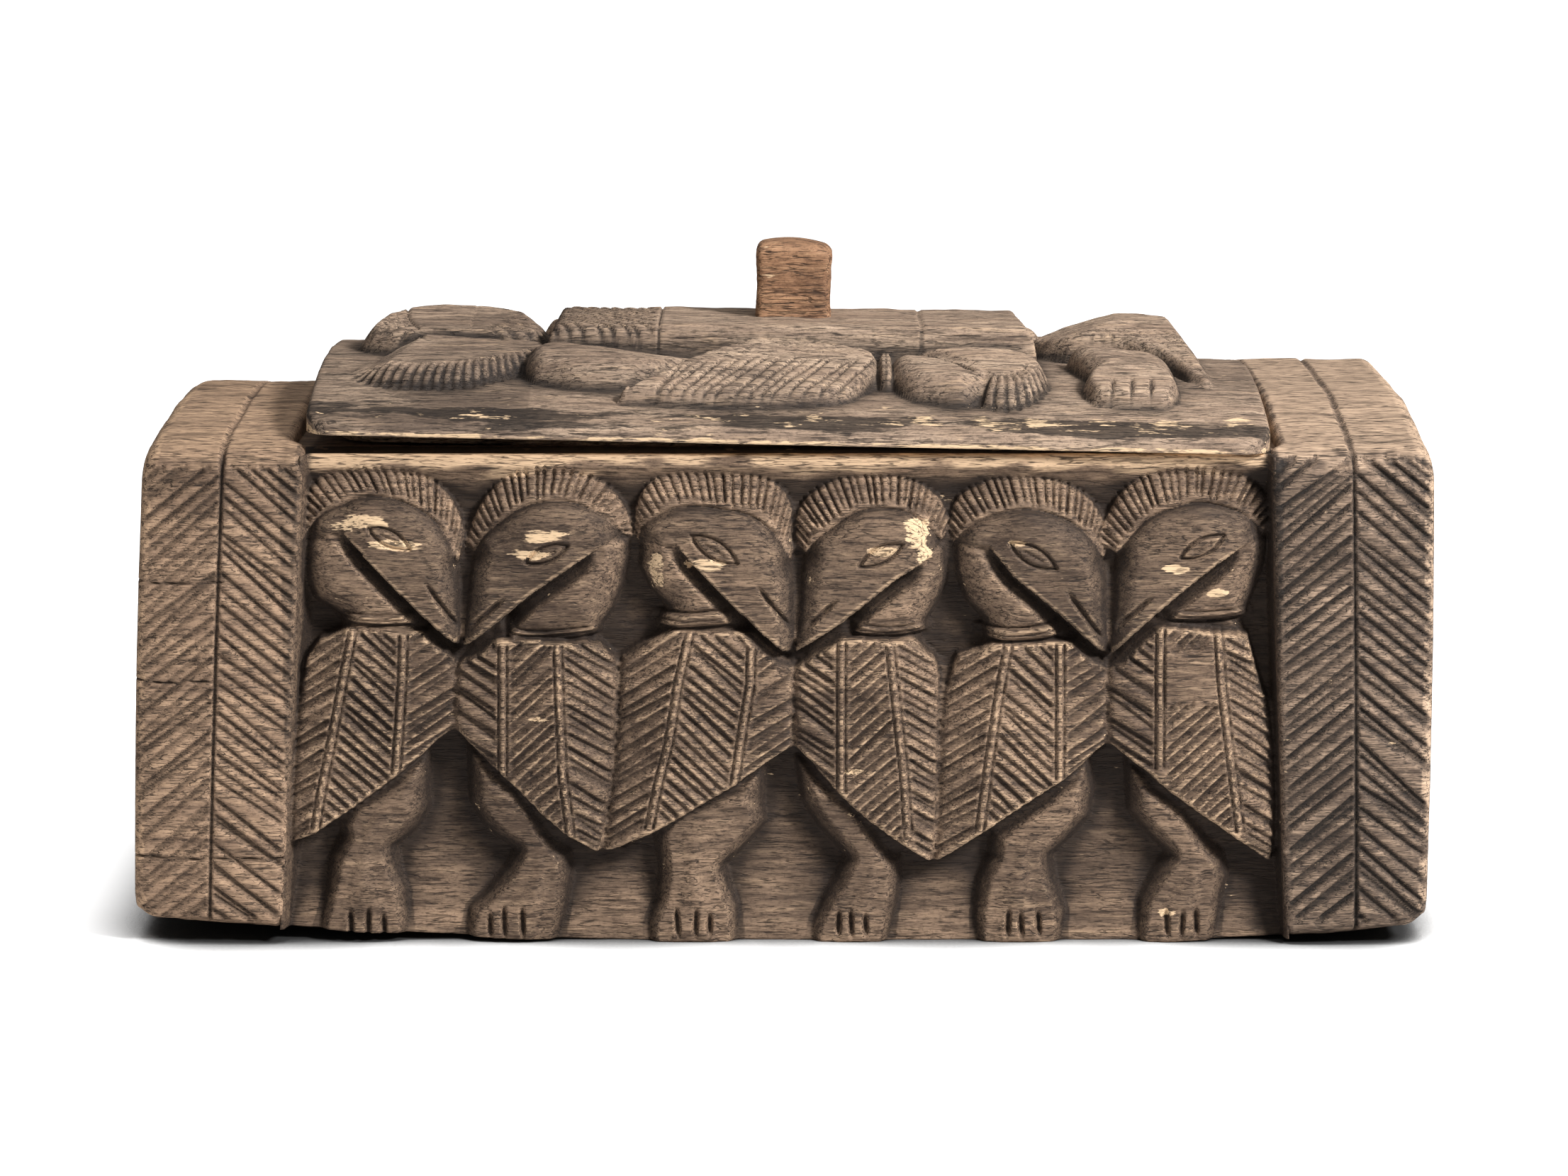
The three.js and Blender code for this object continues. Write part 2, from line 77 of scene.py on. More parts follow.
def on_wall(points):
    """Pixels of the photograph as millimetres along the wall and up it."""
    placed = []
    for across, down in points:
        below = down - photo_rim
        width = pixel_width + below * pixel_width_gain
        placed.append(((across - photo_middle) * width + photo_shift, wall_top - below * pixel_height))
    return placed


birds = [
    {
        "faces": 1,
        "crest": [(419, 752), (420, 721), (432, 690), (462, 668), (510, 660), (560, 662), (600, 674),
                  (628, 696), (645, 722), (655, 750)],
        "crown": [(428, 757), (444, 733), (462, 719), (482, 711), (505, 701), (536, 699), (564, 705),
                  (595, 719), (618, 739), (636, 766), (645, 792)],
        "nape": [(424, 762), (424, 812), (441, 844), (482, 866)],
        "groove": [(482, 744), (520, 786), (565, 832), (606, 872), (641, 903)],
        "tip": (650, 906),
        "mouth": [(602, 816), (645, 878)],
        "eye": [(521, 739), (579, 768)],
        "collar": ([(480, 858), (540, 862), (602, 858)], [(478, 871), (540, 876), (608, 873)]),
        "wing": [(491, 880), (450, 898), (432, 921), (425, 957), (416, 1016), (411, 1085), (408, 1166),
                 (412, 1184), (445, 1171), (541, 1103), (582, 1071), (618, 1039), (642, 1021),
                 (643, 925), (604, 884)],
        "quills": [[(498, 885), (484, 957), (473, 1016), (459, 1085), (446, 1160)],
                   [(570, 890), (568, 948), (564, 1016), (559, 1082)]],
        "leg": ([(500, 1120), (477, 1153), (482, 1175), (468, 1203), (455, 1266), (443, 1310)],
                [(600, 1050), (601, 1139), (582, 1171), (554, 1194), (560, 1221), (574, 1257),
                 (580, 1312)]),
        "toes": [496, 519, 542],
    },
    {
        "faces": -1,
        "crest": [(655, 770), (664, 738), (680, 706), (710, 676), (745, 661), (777, 660), (809, 664),
                  (836, 675), (866, 697), (886, 730), (891, 757)],
        "crown": [(668, 778), (682, 754), (700, 739), (727, 719), (759, 707), (795, 705), (827, 714),
                  (855, 728), (876, 750)],
        "nape": [(889, 760), (886, 789), (877, 825), (864, 857), (850, 878)],
        "groove": [(836, 773), (786, 807), (745, 835), (709, 866), (661, 903)],
        "tip": (653, 906),
        "mouth": [(711, 837), (664, 878)],
        "eye": [(741, 787), (800, 764)],
        "collar": ([(714, 876), (755, 886), (836, 879)], [(700, 889), (752, 901), (843, 893)]),
        "wing": [(700, 893), (662, 915), (645, 930), (641, 1016), (655, 1039), (700, 1080), (736, 1114),
                 (764, 1144), (795, 1171), (842, 1200), (850, 1185), (855, 1130), (864, 1085),
                 (868, 1016), (870, 948), (864, 925), (845, 903)],
        "quills": [[(786, 905), (789, 994), (793, 1085), (804, 1170)],
                   [(709, 905), (709, 990), (709, 1085)]],
        "leg": ([(661, 1040), (664, 1130), (682, 1162), (700, 1180), (726, 1197), (714, 1221), (682, 1257),
                 (659, 1275), (651, 1314)],
                [(735, 1100), (770, 1165), (800, 1202), (804, 1235), (801, 1275), (793, 1320)]),
        "toes": [691, 711, 737],
    },
    {
        "faces": 1,
        "crest": [(893, 752), (895, 716), (906, 692), (926, 675), (951, 668), (987, 667), (1028, 669),
                  (1065, 674), (1096, 687), (1113, 712), (1117, 756)],
        "crown": [(899, 762), (904, 742), (919, 730), (946, 716), (978, 712), (1015, 716), (1051, 723),
                  (1078, 739), (1101, 766), (1115, 792)],
        "nape": [(899, 762), (899, 798), (915, 830), (937, 853)],
        "groove": [(951, 762), (978, 794), (1019, 835), (1065, 880), (1101, 912)],
        "tip": (1119, 915),
        "mouth": [(1067, 821), (1112, 878)],
        "eye": [(974, 750), (1038, 788)],
        "collar": ([(926, 858), (975, 858), (1030, 852)], [(922, 879), (975, 881), (1048, 874)]),
        "wing": [(950, 884), (905, 903), (876, 921), (873, 994), (865, 1085), (858, 1144), (851, 1199),
                 (868, 1194), (901, 1180), (942, 1157), (978, 1135), (1033, 1103), (1074, 1075),
                 (1115, 1048), (1117, 925), (1064, 884)],
        "quills": [[(971, 887), (955, 957), (942, 1039), (928, 1094), (914, 1160)],
                   [(1058, 905), (1056, 960), (1046, 1016), (1034, 1098)]],
        "leg": ([(940, 1140), (922, 1171), (930, 1221), (924, 1266), (911, 1294), (908, 1322)],
                [(1074, 1070), (1071, 1130), (1076, 1160), (1055, 1185), (1020, 1221), (1028, 1248),
                 (1040, 1275), (1044, 1320)]),
        "toes": [955, 979, 999],
    },
    {
        "faces": -1,
        "crest": [(1120, 762), (1124, 721), (1142, 698), (1169, 682), (1196, 675), (1233, 672),
                  (1269, 676), (1300, 687), (1326, 708), (1337, 740)],
        "crown": [(1134, 778), (1148, 760), (1169, 744), (1196, 725), (1224, 716), (1255, 716),
                  (1283, 723), (1305, 739), (1326, 760)],
        "nape": [(1335, 760), (1337, 789), (1333, 821), (1319, 853), (1305, 875)],
        "groove": [(1299, 789), (1260, 812), (1215, 848), (1187, 871), (1129, 908)],
        "tip": (1120, 915),
        "mouth": [(1178, 839), (1133, 880)],
        "eye": [(1209, 792), (1269, 762)],
        "collar": ([(1200, 872), (1251, 880), (1302, 875)], [(1194, 886), (1246, 894), (1306, 889)]),
        "wing": [(1185, 893), (1140, 915), (1120, 935), (1120, 1047), (1155, 1085), (1192, 1125),
                 (1224, 1153), (1260, 1180), (1309, 1213), (1315, 1196), (1319, 1130), (1321, 1039),
                 (1322, 948), (1315, 921), (1287, 899)],
        "quills": [[(1252, 905), (1262, 994), (1272, 1085), (1278, 1172)],
                   [(1184, 900), (1184, 1000), (1184, 1108)]],
        "leg": ([(1122, 1060), (1133, 1130), (1155, 1166), (1192, 1207), (1178, 1235), (1160, 1262),
                 (1142, 1298), (1137, 1322)],
                [(1209, 1130), (1247, 1189), (1266, 1212), (1267, 1249), (1262, 1287), (1256, 1324)]),
        "toes": [1180, 1199, 1219],
    },
    {
        "faces": 1,
        "crest": [(1338, 755), (1340, 722), (1352, 700), (1379, 685), (1402, 677), (1438, 675),
                  (1475, 678), (1505, 687), (1534, 705), (1552, 730), (1560, 760)],
        "crown": [(1342, 765), (1356, 748), (1379, 732), (1411, 721), (1447, 716), (1479, 723),
                  (1511, 737), (1534, 757), (1554, 786)],
        "nape": [(1340, 760), (1343, 803), (1361, 848), (1384, 871)],
        "groove": [(1390, 764), (1425, 807), (1465, 839), (1502, 871), (1545, 910)],
        "tip": (1559, 918),
        "mouth": [(1502, 828), (1551, 896)],
        "eye": [(1421, 760), (1485, 795)],
        "collar": ([(1370, 876), (1429, 880), (1490, 870)], [(1386, 897), (1438, 900), (1504, 890)]),
        "wing": [(1398, 902), (1347, 921), (1330, 975), (1323, 1039), (1320, 1130), (1317, 1214),
                 (1340, 1200), (1365, 1182), (1402, 1157), (1456, 1121), (1497, 1094), (1529, 1069),
                 (1559, 1041), (1558, 930), (1510, 897)],
        "quills": [[(1418, 903), (1406, 966), (1395, 1039), (1386, 1107), (1378, 1165)],
                   [(1491, 903), (1491, 1000), (1491, 1090)]],
        "leg": ([(1397, 1170), (1396, 1203), (1379, 1235), (1370, 1285), (1369, 1324)],
                [(1529, 1060), (1538, 1112), (1531, 1153), (1511, 1175), (1480, 1207), (1484, 1235),
                 (1495, 1262), (1502, 1285), (1500, 1324)]),
        "toes": [1418, 1438, 1463],
    },
    {
        "faces": -1,
        "crest": [(1546, 762), (1560, 726), (1577, 698), (1602, 678), (1629, 667), (1665, 660),
                  (1702, 660), (1738, 667), (1767, 682), (1786, 708), (1792, 745)],
        "crown": [(1572, 778), (1590, 755), (1615, 730), (1647, 716), (1684, 707), (1720, 712),
                  (1752, 725), (1780, 750)],
        "nape": [(1787, 760), (1781, 794), (1770, 825), (1756, 857)],
        "groove": [(1743, 769), (1706, 794), (1661, 830), (1629, 857), (1593, 889), (1569, 914)],
        "tip": (1562, 918),
        "mouth": [(1620, 835), (1571, 877)],
        "eye": [(1659, 781), (1720, 750)],
        "collar": ([(1638, 855), (1700, 858), (1757, 853)], [(1634, 868), (1697, 873), (1757, 867)]),
        "wing": [(1625, 875), (1580, 905), (1560, 935), (1560, 1040), (1575, 1055), (1611, 1082),
                 (1647, 1112), (1684, 1139), (1729, 1171), (1775, 1205), (1789, 1214), (1792, 1194),
                 (1794, 1130), (1791, 1039), (1784, 985), (1770, 939), (1756, 890)],
        "quills": [[(1713, 885), (1718, 960), (1730, 1060), (1744, 1165)],
                   [(1632, 880), (1631, 930), (1631, 1075)]],
        "leg": ([(1588, 1060), (1592, 1144), (1618, 1175), (1645, 1203), (1622, 1235), (1604, 1266),
                 (1596, 1320)],
                [(1670, 1135), (1697, 1180), (1720, 1203), (1729, 1235), (1722, 1266), (1716, 1320)]),
        "toes": [1643, 1662, 1684],
        "plain": (905, 985),
    },
]

# Pale places where the dark skin is rubbed off: middle, half width and half height in pixels
bare_spots = [(516, 730, 40, 10), (555, 762, 30, 8), (765, 748, 34, 10), (745, 775, 26, 6),
              (925, 800, 10, 24), (995, 790, 26, 8), (1290, 745, 20, 18), (1300, 775, 12, 12),
              (1245, 772, 26, 6), (1430, 760, 18, 5), (1650, 795, 22, 6), (1716, 830, 14, 6),
              (1640, 1282, 12, 6), (1200, 1080, 14, 4), (760, 1006, 16, 4)]
# How high each form of a bird stands over the ground, and how wide its rounded edge is
crest_height, crest_edge = 9.5, 12.0
head_height, head_base, head_edge = 14.4, 8.4, 15.0
neck_height, neck_edge = 12.4, 17.0
wing_height, wing_base, wing_edge = 13.6, 11.2, 3.2
leg_height, leg_edge, shin_edge, thigh_edge = 10.5, 6.5, 17.0, 10.0
leg_flank, leg_end = 1.3, -12.0
collar_rise, collar_width = 2.1, 5.4
# How much darker than the rest each form is painted; the crests are painted lighter
shades = {"leg": 0.3, "thigh": 0.32, "crest": -0.42, "neck": 0.28, "head": 0.5}
crest_teeth = 27
toe_foot, toe_top = 1318, 1280
eye_plump = 0.17
barb_width, barb_depth = 3.7, 2.0
barb_rise, middle_barb_rise = 33, -42
quill_half = 1.6
narrow_gap = 2.4
# Where the ground flows out: into the end blocks, up to the rim and down to the foot
end_cove, left_cove_width, right_cove_width = 13.2, 5.5, 2.2
rim_cove_low, rim_cove_high = 26.0, 5.0
foot_cove, foot_cove_high = 6.0, 36.0


def curve(points, steps=5, closed=False):
    """A line that flows through the points."""
    points = [np.array(point, float) for point in points]
    if closed:
        ring = [points[-1]] + points + points[:2]
    else:
        ring = [2 * points[0] - points[1]] + points + [2 * points[-1] - points[-2]]
    flowing = []
    for before, start, end, after in zip(ring, ring[1:], ring[2:], ring[3:]):
        for step in range(steps):
            t = step / steps
            flowing.append(0.5 * (2 * start + (end - before) * t
                                  + (2 * before - 5 * start + 4 * end - after) * t ** 2
                                  + (3 * start - before - 3 * end + after) * t ** 3))
    if not closed:
        flowing.append(points[-1])
    return [tuple(point) for point in flowing]


def part_way(a, b, share):
    return (a[0] + (b[0] - a[0]) * share, a[1] + (b[1] - a[1]) * share)


def point_along(line, share):
    """The place that a share of the line's length leads to."""
    steps = [math.dist(a, b) for a, b in zip(line, line[1:])]
    reach = share * sum(steps)
    for (a, b), step in zip(zip(line, line[1:]), steps):
        if reach <= step:
            return part_way(a, b, reach / max(step, 1e-9))
        reach -= step
    return line[-1]


def gap_to(across, up, line, closed=False):
    """How far each place is from a line of straight runs."""
    best = np.full(across.shape, np.inf)
    runs = list(zip(line, line[1:])) + ([(line[-1], line[0])] if closed else [])
    for (ax, az), (bx, bz) in runs:
        dx, dz = bx - ax, bz - az
        along = unit(((across - ax) * dx + (up - az) * dz) / (dx * dx + dz * dz + 1e-9))
        best = np.minimum(best, np.hypot(across - ax - along * dx, up - az - along * dz))
    return best


def within(across, up, outline):
    """Which places lie inside an outline of straight runs."""
    odd = np.zeros(across.shape, bool)
    for (ax, az), (bx, bz) in zip(outline, outline[1:] + outline[:1]):
        if az != bz:
            odd ^= ((az > up) != (bz > up)) & (across < ax + (up - az) * (bx - ax) / (bz - az))
    return odd


def unit(value):
    """A value held between 0 and 1."""
    return np.clip(value, 0, 1)


def run_of(chosen):
    """The slice from the first to the last that is chosen, or an empty one."""
    places = np.flatnonzero(chosen)
    return slice(places[0], places[-1] + 1) if len(places) else slice(0)


def bell(reach, width):
    """Weights that fall off to both sides and add up to 1."""
    kernel = np.exp(-0.5 * (np.arange(-reach, reach + 1) / width) ** 2)
    return kernel / kernel.sum()


def blur(field, cells):
    reach = max(int(3 * cells), 1)
    kernel = bell(reach, max(cells, 0.3))
    for axis in (0, 1):
        pad = [(reach, reach) if axis == side else (0, 0) for side in (0, 1)]
        wide = np.pad(field, pad, mode="edge")
        field = np.apply_along_axis(np.convolve, axis, wide, kernel, "valid")
    return field


def spread(field, cells, pick):
    """Each place takes the highest, or the lowest, that stands within some cells of it."""
    result = field
    for across_shift in range(-cells, cells + 1):
        for up_shift in range(-cells, cells + 1):
            if math.hypot(across_shift, up_shift) <= cells + 0.3:
                result = pick(result, np.roll(field, (across_shift, up_shift), (0, 1)))
    return result


def ripple(x, y, z, size, seed, stretch=1.0):
    """A soft unevenness through space, about -1 to 1, longer along X by the stretch."""
    random = np.random.default_rng(seed)
    total = np.zeros(np.broadcast(x, y, z).shape)
    for turn in range(9):
        way = random.normal(size=3)
        way *= random.uniform(0.5, 1.6) * math.tau / size / np.linalg.norm(way)
        total += np.sin(way[0] * x / stretch + way[1] * y + way[2] * z + random.uniform(0, math.tau))
    return total / 4.5


class Relief:
    """Carving on a face: what is left standing, and the lines scored into it, in millimetres."""

    def __init__(self, across, up, cell):
        self.across = across
        self.up = up
        self.cell = cell
        self.stand = np.zeros(across.shape)
        self.score = np.zeros(across.shape)
        self.bare = np.zeros(across.shape)
        self.shade = np.zeros(across.shape)

    def near(self, points, margin):
        """The part of the net that the points lie on, with a margin round it."""
        xs, zs = zip(*points)
        beside = (self.across.max(1) > min(xs) - margin) & (self.across.min(1) < max(xs) + margin)
        level = (self.up.max(0) > min(zs) - margin) & (self.up.min(0) < max(zs) + margin)
        return (run_of(beside), run_of(level))

    def form(self, outline, height, edge, blend=0.8, power=2.0, base=0.0, rim=None, fall=None, shade=0.0):
        """Leave a form standing over what is there. Its edge, or only its rim line, is rounded over from
        the base up, and its top drops by what fall gives at each place."""
        window = self.near(outline, 1)
        across, up = self.across[window], self.up[window]
        inside = within(across, up, outline)
        deep = gap_to(across, up, rim) if rim else gap_to(across, up, outline, True)
        rise = base + (height - base) * (1 - (1 - np.minimum(deep / edge, 1)) ** power) ** (1 / power)
        if fall:
            rise = rise - fall(across, up)
        rise = np.where(inside, rise, 0)
        old = self.stand[window]
        soft = unit(np.minimum(old, rise) / 4) * blend
        self.stand[window] = (old + rise + np.sqrt((old - rise) ** 2 + soft ** 2)) / 2
        self.score[window] = np.where(inside, 0, self.score[window])
        self.shade[window] = np.where(inside, shade, self.shade[window])

    def strength(self, window, points, fade):
        """1 along the line, less over the fade at both its ends."""
        across, up = self.across[window], self.up[window]
        if not fade:
            return np.ones(across.shape)
        ends = np.minimum(np.hypot(across - points[0][0], up - points[0][1]),
                          np.hypot(across - points[-1][0], up - points[-1][1]))
        return unit(ends / fade) ** 0.6

    def line(self, points, width, depth, fade=0.0, lean=0.0):
        """Score a line; with a fade it ends shallow and narrow, with a lean its upper side is steeper."""
        window = self.near(points, width)
        across, up = self.across[window], self.up[window]
        gap = gap_to(across, up, points)
        strength = self.strength(window, points, fade)
        (ax, az), (bx, bz) = sorted((points[0], points[-1]))
        above = np.sign((bx - ax) * (up - az) - (bz - az) * (across - ax))
        half = width * (0.5 - 0.5 * lean * above) * (0.4 + 0.6 * strength)
        cut = depth * strength * unit(1 - gap / half)
        self.score[window] = np.maximum(self.score[window], cut)

    def ridge(self, points, width, rise, fade):
        """A rounded cord left standing along a line."""
        window = self.near(points, width)
        gap = gap_to(self.across[window], self.up[window], points)
        strength = self.strength(window, points, fade)
        self.stand[window] += rise * strength * np.sqrt(unit(1 - (gap / (width / 2)) ** 2))

    def close_gaps(self, reach, drop):
        """Narrow gaps between two forms are only cut a little way down."""
        cells = max(round(reach / self.cell), 1)
        filled = spread(spread(self.stand, cells, np.maximum), cells, np.minimum)
        self.stand = np.maximum(self.stand, filled - drop)

    def rub(self, middle, half_width, half_height):
        window = self.near([middle], max(half_width, half_height) * 2)
        across, up = self.across[window], self.up[window]
        gap = np.hypot((across - middle[0]) / half_width, (up - middle[1]) / half_height)
        self.bare[window] = np.maximum(self.bare[window], unit(1.6 - gap))

    def surface(self):
        return blur(self.stand, 0.45 / self.cell) - self.score


def barbs(relief, outline, between, degrees, random, margin, pitch, width=barb_width, depth=barb_depth):
    """Slanting strokes that fill the part of an outline where between(across, up) holds."""
    xs, zs = zip(*outline)
    middle = ((min(xs) + max(xs)) / 2, (min(zs) + max(zs)) / 2)
    reach = math.dist((min(xs), min(zs)), (max(xs), max(zs))) / 2
    angle = math.radians(degrees)
    way = np.array([math.cos(angle), math.sin(angle)])
    side = np.array([-way[1], way[0]])
    spacing, shortest = 0.4, 3.5
    steps = np.arange(-reach, reach, spacing)
    offset = -reach
    while offset < reach:
        offset += pitch * random.uniform(0.85, 1.15)
        tilt = random.normal(0, 0.035)
        turned = way * math.cos(tilt) + side * math.sin(tilt)
        across = middle[0] + side[0] * offset + turned[0] * steps
        up = middle[1] + side[1] * offset + turned[1] * steps
        held = within(across, up, outline) & (gap_to(across, up, outline, True) > margin)
        held = held & between(across, up)
        edges = np.flatnonzero(np.diff(np.concatenate([[0], held.astype(int), [0]])))
        for start, end in zip(edges[::2], edges[1::2]):
            if (end - start) * spacing < shortest:
                continue
            run = [(across[start], up[start]), (across[end - 1], up[end - 1])]
            stroke_width = width * random.uniform(0.85, 1.15)
            relief.line(run, stroke_width, depth * random.uniform(0.75, 1.15), fade=1.6, lean=0.5)


def almond(corner, other):
    """The two lids of an eye between its corners."""
    run = np.array(other) - np.array(corner)
    side = np.array([-run[1], run[0]]) * eye_plump
    lids = []
    for plump in (side, -side):
        lids.append([tuple(np.array(corner) + run * t + plump * math.sin(math.pi * t) ** 0.8)
                     for t in np.linspace(0, 1, 9)])
    return lids


def carve_bird(relief, bird, random):
    """One bird of the frieze, from its outlines in the photograph."""
    faces = bird["faces"]
    crest = curve(on_wall(bird["crest"]))
    crown = curve(on_wall(bird["crown"]))
    nape = on_wall(bird["nape"])
    groove = on_wall(bird["groove"])
    tip = on_wall([bird["tip"]])[0]
    collar_top, collar_low = [curve(on_wall(line)) for line in bird["collar"]]
    wing = on_wall(bird["wing"])
    leg_left, leg_right = [on_wall(line) for line in bird["leg"]]
    leg_left = [(x - leg_flank, z) for x, z in leg_left + [(leg_left[-1][0], leg_end)]]
    leg_right = [(x + leg_flank, z) for x, z in leg_right + [(leg_right[-1][0], leg_end)]]
    if faces < 0:
        crest, crown = crest[::-1], crown[::-1]
        collar_top, collar_low = collar_top[::-1], collar_low[::-1]
    # the leg with its three cuts between the toes
    leg = leg_left + leg_right[::-1]
    relief.form(leg, leg_height - 1.5, leg_edge, power=1.25)
    relief.form(leg, leg_height, shin_edge, power=1.6, shade=shades["leg"])
    thigh = [leg_left[0], leg_left[1], leg_right[2], leg_right[1], leg_right[0]]
    relief.form(thigh, leg_height, thigh_edge, power=1.5, shade=shades["thigh"])
    for toe in bird["toes"]:
        top = (toe + random.uniform(-3, 3), toe_top + random.uniform(-5, 5))
        relief.line(on_wall([(toe, toe_foot), top]), 3.0, 3.0, fade=3)
    # the crest, a band that leans back from the head, with long cuts across it
    band = crest + crown[::-1]
    relief.form(band, crest_height, crest_edge, 0.2, 1.4, 4.4, rim=crest, shade=shades["crest"])
    for tooth in range(crest_teeth):
        share = (tooth + 0.5 + random.uniform(-0.16, 0.16)) / crest_teeth
        outer = point_along(crest, share)
        inner = point_along(crown, share)
        root = part_way(outer, inner, random.uniform(0.68, 0.86))
        relief.line([outer, root], 1.9, random.uniform(1.1, 2.3), 0.5, 0.3)
    # the neck and breast, a full round
    under_wing_top = (wing[0][0], wing[0][1] - 4)
    under_breast = (collar_low[-1][0], collar_low[-1][1] - 6)
    neck = crown[:1] + nape + [collar_low[0], under_wing_top, under_breast, groove[-2]]
    neck += crown[-1:] + crown[::-1]
    relief.form(neck, neck_height, neck_edge, shade=shades["neck"])
    # the wing, with two double quills that part it into three fields of barbs; it falls off beyond them
    outer_quill, inner_quill = [on_wall(line) for line in bird["quills"]]

    def beyond(quill, across, up):
        heights = [z for x, z in quill][::-1]
        places = [x for x, z in quill][::-1]
        return faces * (across - np.interp(up, heights, places))

    def wing_fall(across, up):
        outer = np.maximum(-beyond(outer_quill, across, up), 0)
        inner = np.maximum(beyond(inner_quill, across, up), 0)
        return 0.25 * outer + 0.15 * inner

    relief.form(wing, wing_height, wing_edge, blend=0.4, base=wing_base, fall=wing_fall)
    clear = quill_half + 0.5
    for quill in (outer_quill, inner_quill):
        relief.ridge(quill, 2 * quill_half, 0.2, 3)
        for side in (-quill_half, quill_half):
            relief.line([(x + side, z) for x, z in quill], 1.7, 1.7)
    plain_top, plain_low = [z for x, z in on_wall([(0, y) for y in bird.get("plain", (0, 0))])]
    outer_field = lambda x, z: beyond(outer_quill, x, z) < -clear
    middle_field = lambda x, z: ((beyond(outer_quill, x, z) > clear) & (beyond(inner_quill, x, z) < -clear)
                                 & ~((z < plain_top) & (z > plain_low)))
    inner_field = lambda x, z: beyond(inner_quill, x, z) > clear
    pitches = (4.1, 3.9, 3.5) if faces > 0 else (3.4, 3.9, 3.8)
    barbs(relief, wing, outer_field, faces * barb_rise, random, -1, pitches[0])
    barbs(relief, wing, middle_field, faces * middle_barb_rise, random, 0.8, pitches[1])
    barbs(relief, wing, inner_field, faces * barb_rise, random, -1, pitches[2])
    # the collar, a cord between two lines
    collar = [part_way(high, low, 0.5) for high, low in zip(collar_top, collar_low)]
    relief.ridge(collar, collar_width, collar_rise, 5)
    relief.line(collar, 1.3, 1.2, 3)
    relief.line(collar_top, 2.0, 1.9, 3)
    relief.line(collar_low, 2.0, 2.1, 3)
    # the head with its long beak stands over the neck, which is cut away along the groove
    past_tip = (tip[0] + 4.5 * faces, tip[1] - 4.5)
    below = [(x - 0.3 * faces, z - 0.8) for x, z in groove + [past_tip]]
    relief.line(below, 11.5, 6.0, fade=9)
    head = crown + [tip] + groove[::-1]

    def head_fall(across, up):
        to_nape = gap_to(across, up, [crown[0], groove[0]])
        to_other = gap_to(across, up, [crown[-1], tip])
        to_corner = np.hypot(across - crown[0][0], up - crown[0][1])
        return (2.2 * unit(1 - to_nape / 13) + 5.0 * unit(1 - to_other / 8) ** 1.7
                + 3.0 * unit(1 - to_corner / 9))

    relief.form(head, head_height, head_edge, blend=1.0, base=head_base, rim=crown, fall=head_fall,
                shade=shades["head"])
    relief.line(crown, 2.0, 1.2, 16)
    relief.line(on_wall(bird["mouth"]), 3.0, 2.6, fade=4)
    corner, other = on_wall(bird["eye"])
    for lid_line in almond(corner, other):
        relief.line(lid_line, 2.2, 2.0)
    pupil = [part_way(corner, other, 0.3), part_way(corner, other, 0.7)]
    relief.line(pupil, 1.4, 0.9)


def base_height(x):
    """The base is level in the middle and rises to both ends."""
    low, high = body_low[0], body_high[0]
    left = unit((flat_base[0] - x) / (flat_base[0] - low))
    right = unit((x - flat_base[1]) / (high - flat_base[1]))
    return base_lift[0] * left ** 1.6 + base_lift[1] * right ** 1.6


def carve_wall(cell, seed):
    """The carving of a long side, on a net of places along the wall and up it."""
    columns = round((panel_low[1] - panel_low[0]) / cell)
    rows = round(wall_top / cell)
    along = np.linspace(0, 1, columns + 1)[:, None]
    share = np.linspace(0, 1, rows + 1)[None, :]
    low = base_height(panel_low[0] + (panel_low[1] - panel_low[0]) * along)
    up = low + (wall_top - low) * share
    left = panel_low[0] + (panel_high[0] - panel_low[0]) * up / wall_top - wall_lap
    right = panel_low[1] + (panel_high[1] - panel_low[1]) * up / wall_top + wall_lap
    across = left + (right - left) * along
    relief = Relief(across, up, cell)
    random = np.random.default_rng(seed)
    for bird in birds:
        carve_bird(relief, bird, random)
    relief.close_gaps(narrow_gap, 2.0)
    relief.close_gaps(2 * narrow_gap, 4.5)
    around = [np.roll(relief.stand, (i, j), (0, 1)) for i in (-1, 0, 1) for j in (-1, 0, 1)]
    relief.stand = np.median(around, axis=0)
    # the ground flows out to the end blocks, to the rim and a little to the foot
    to_left, to_right = across - left - wall_lap, right - across - wall_lap
    near_end = np.maximum(unit(1 - to_left / left_cove_width), unit(1 - to_right / right_cove_width))
    near_rim = unit((up - wall_top + rim_cove_low) / (rim_cove_low - rim_cove_high))
    near_foot = unit(1 - (up - low) / foot_cove_high)
    rim_cove = rim_out - ground_out
    for cove in (end_cove * near_end ** 2.2, rim_cove * near_rim ** 2.2, foot_cove * near_foot ** 1.5):
        relief.stand = np.maximum(relief.stand, cove)
    relief.stand += 0.35 * ripple(across, 0, up, 30, seed + 1)
    relief.stand += 0.22 * ripple(across, 0, up, 7, seed + 2, 1.6)
    for middle_x, middle_z, wide, high in bare_spots:
        spot = on_wall([(middle_x, middle_z)])[0]
        relief.rub(spot, wide * pixel_width, high * pixel_height)
    return relief


def steepness(relief):
    """0 where the carving lies flat, 1 where it stands as a side."""
    soft = blur(relief.stand, 0.8 / relief.cell)
    slope = np.hypot(*np.gradient(soft, relief.cell))
    return unit((slope - 0.3) / 0.9)


def add_object(name, data):
    """An object at the origin; the place of a piece is in its mesh."""
    made = bpy.data.objects.new(name, data)
    bpy.context.scene.collection.objects.link(made)
    return made


